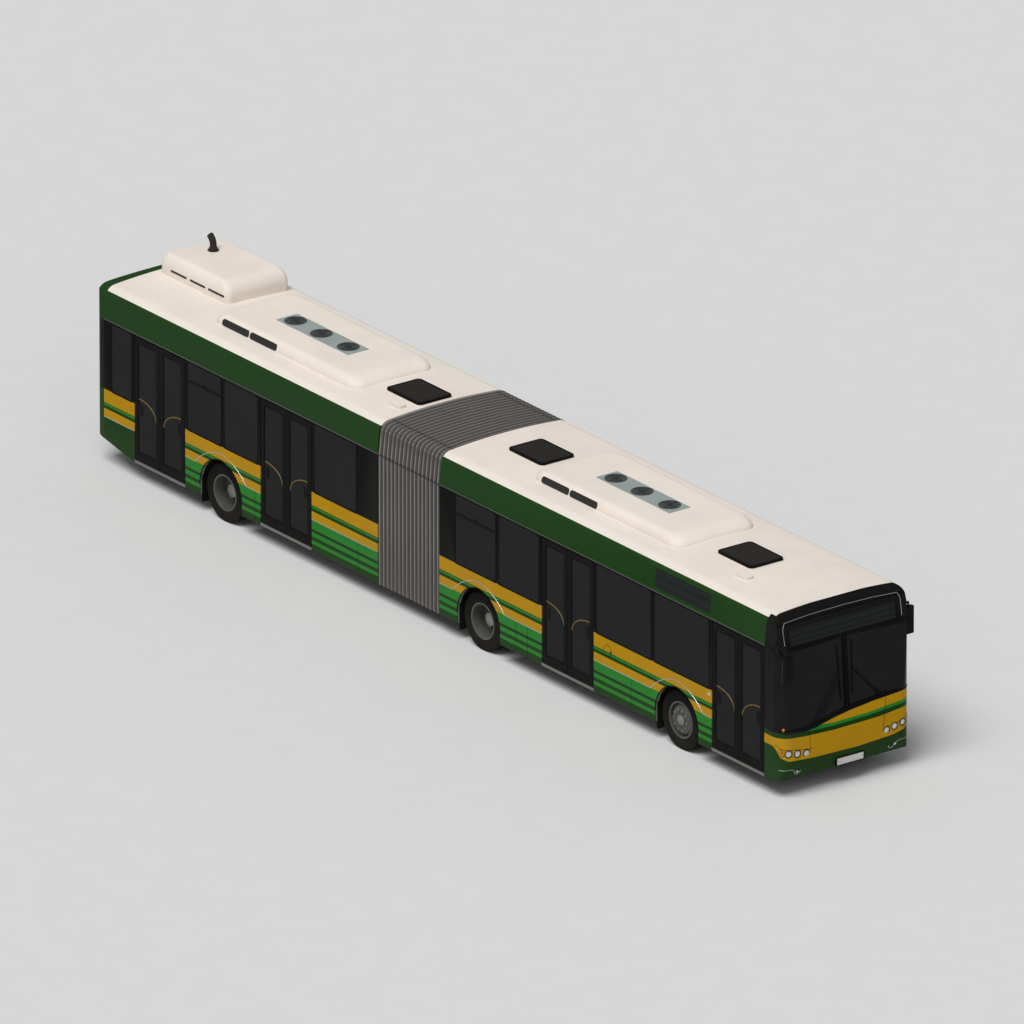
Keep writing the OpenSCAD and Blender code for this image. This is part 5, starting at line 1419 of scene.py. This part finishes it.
class BUS_OT_studio(bpy.types.Operator):
    """Lays the pale floor and sets the lights and the camera"""
    bl_idname = "bus.studio"
    bl_label = "Studio"
    bl_options = {"REGISTER"}

    def execute(self, context):
        studio = context.scene.bus_studio
        size = 260.0
        mesh = bpy.data.meshes.new("studio_floor")
        corners = [(-size, -size, -0.002), (size, -size, -0.002), (size, size, -0.002), (-size, size, -0.002)]
        mesh.from_pydata(corners, [], [(0, 1, 2, 3)])
        mesh.materials.append(worn("studio_floor", (0.70, 0.70, 0.69), rough=0.8, grain=3.0, depth=0.0, dust=0.0,
                                   mottle=0.02, edge=0.0, Specular_IOR_Level=0.1))
        floor = bpy.data.objects.new("studio_floor", mesh)
        context.scene.collection.objects.link(floor)
        world = bpy.data.worlds.new("studio_room")
        world.use_nodes = True
        world.node_tree.nodes["Background"].inputs[0].default_value = (0.93, 0.96, 1.0, 1)
        world.node_tree.nodes["Background"].inputs[1].default_value = studio.sky
        context.scene.world = world
        for name, strength, spread, tilt, turn in (("key_light", studio.key, 35, 28, 20),
                                                   ("fill_light", studio.fill, 60, 62, 62)):
            lamp = bpy.data.lights.new(name, "SUN")
            lamp.energy, lamp.angle = strength, math.radians(spread)
            made = bpy.data.objects.new(name, lamp)
            made.rotation_euler = (math.radians(tilt), 0, math.radians(turn))
            context.scene.collection.objects.link(made)
        context.scene.view_settings.view_transform = "Standard"
        lens = bpy.data.cameras.new("front_right_camera")
        lens.lens, lens.sensor_width = studio.focal, 36
        away = studio.view_w / 2 / (lens.sensor_width / 2 / lens.lens)
        back = np.array([math.sin(studio.azimuth) * math.cos(studio.elevation),
                         -math.cos(studio.azimuth) * math.cos(studio.elevation), math.sin(studio.elevation)])
        camera = bpy.data.objects.new("front_right_camera", lens)
        camera.location = np.array([-0.364, 0.396, 1.5]) + back * away
        camera.rotation_euler = (math.pi / 2 - studio.elevation, 0, studio.azimuth)
        lens.clip_start, lens.clip_end = away * 0.05, away * 4
        context.scene.collection.objects.link(camera)
        context.scene.camera = camera
        return {"FINISHED"}


STEPS = (BUS_OT_studio, BUS_OT_bodywork, BUS_OT_glazing, BUS_OT_doors, BUS_OT_wheels, BUS_OT_bellows,
         BUS_OT_roof_fittings, BUS_OT_side_trims, BUS_OT_front_end, BUS_OT_back_end, BUS_OT_engine_bay,
         BUS_OT_interior)


class BUS_PT_steps(bpy.types.Panel):
    """Lists the steps and the settings of the bus"""
    bl_label = "City bus"
    bl_idname = "BUS_PT_steps"
    bl_space_type = "VIEW_3D"
    bl_region_type = "UI"
    bl_category = "City bus"

    def draw(self, context):
        for step in STEPS:
            self.layout.operator(step.bl_idname)
        for settings in (context.scene.bus_colours, context.scene.bus_sizes, context.scene.bus_studio):
            box = self.layout.box()
            for key in settings.__annotations__:
                box.prop(settings, key)


CLASSES = (BusColours, BusSizes, BusStudio, *STEPS, BUS_PT_steps)


def register():
    for made in CLASSES:
        bpy.utils.register_class(made)
    bpy.types.Scene.bus_colours = PointerProperty(type=BusColours)
    bpy.types.Scene.bus_sizes = PointerProperty(type=BusSizes)
    bpy.types.Scene.bus_studio = PointerProperty(type=BusStudio)


def unregister():
    del bpy.types.Scene.bus_studio, bpy.types.Scene.bus_sizes, bpy.types.Scene.bus_colours
    for made in reversed(CLASSES):
        bpy.utils.unregister_class(made)


def main():
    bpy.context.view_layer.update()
    register()
    for step in STEPS:
        group, call = step.bl_idname.split(".")
        getattr(getattr(bpy.ops, group), call)()


if __name__ == "__main__":
    main()
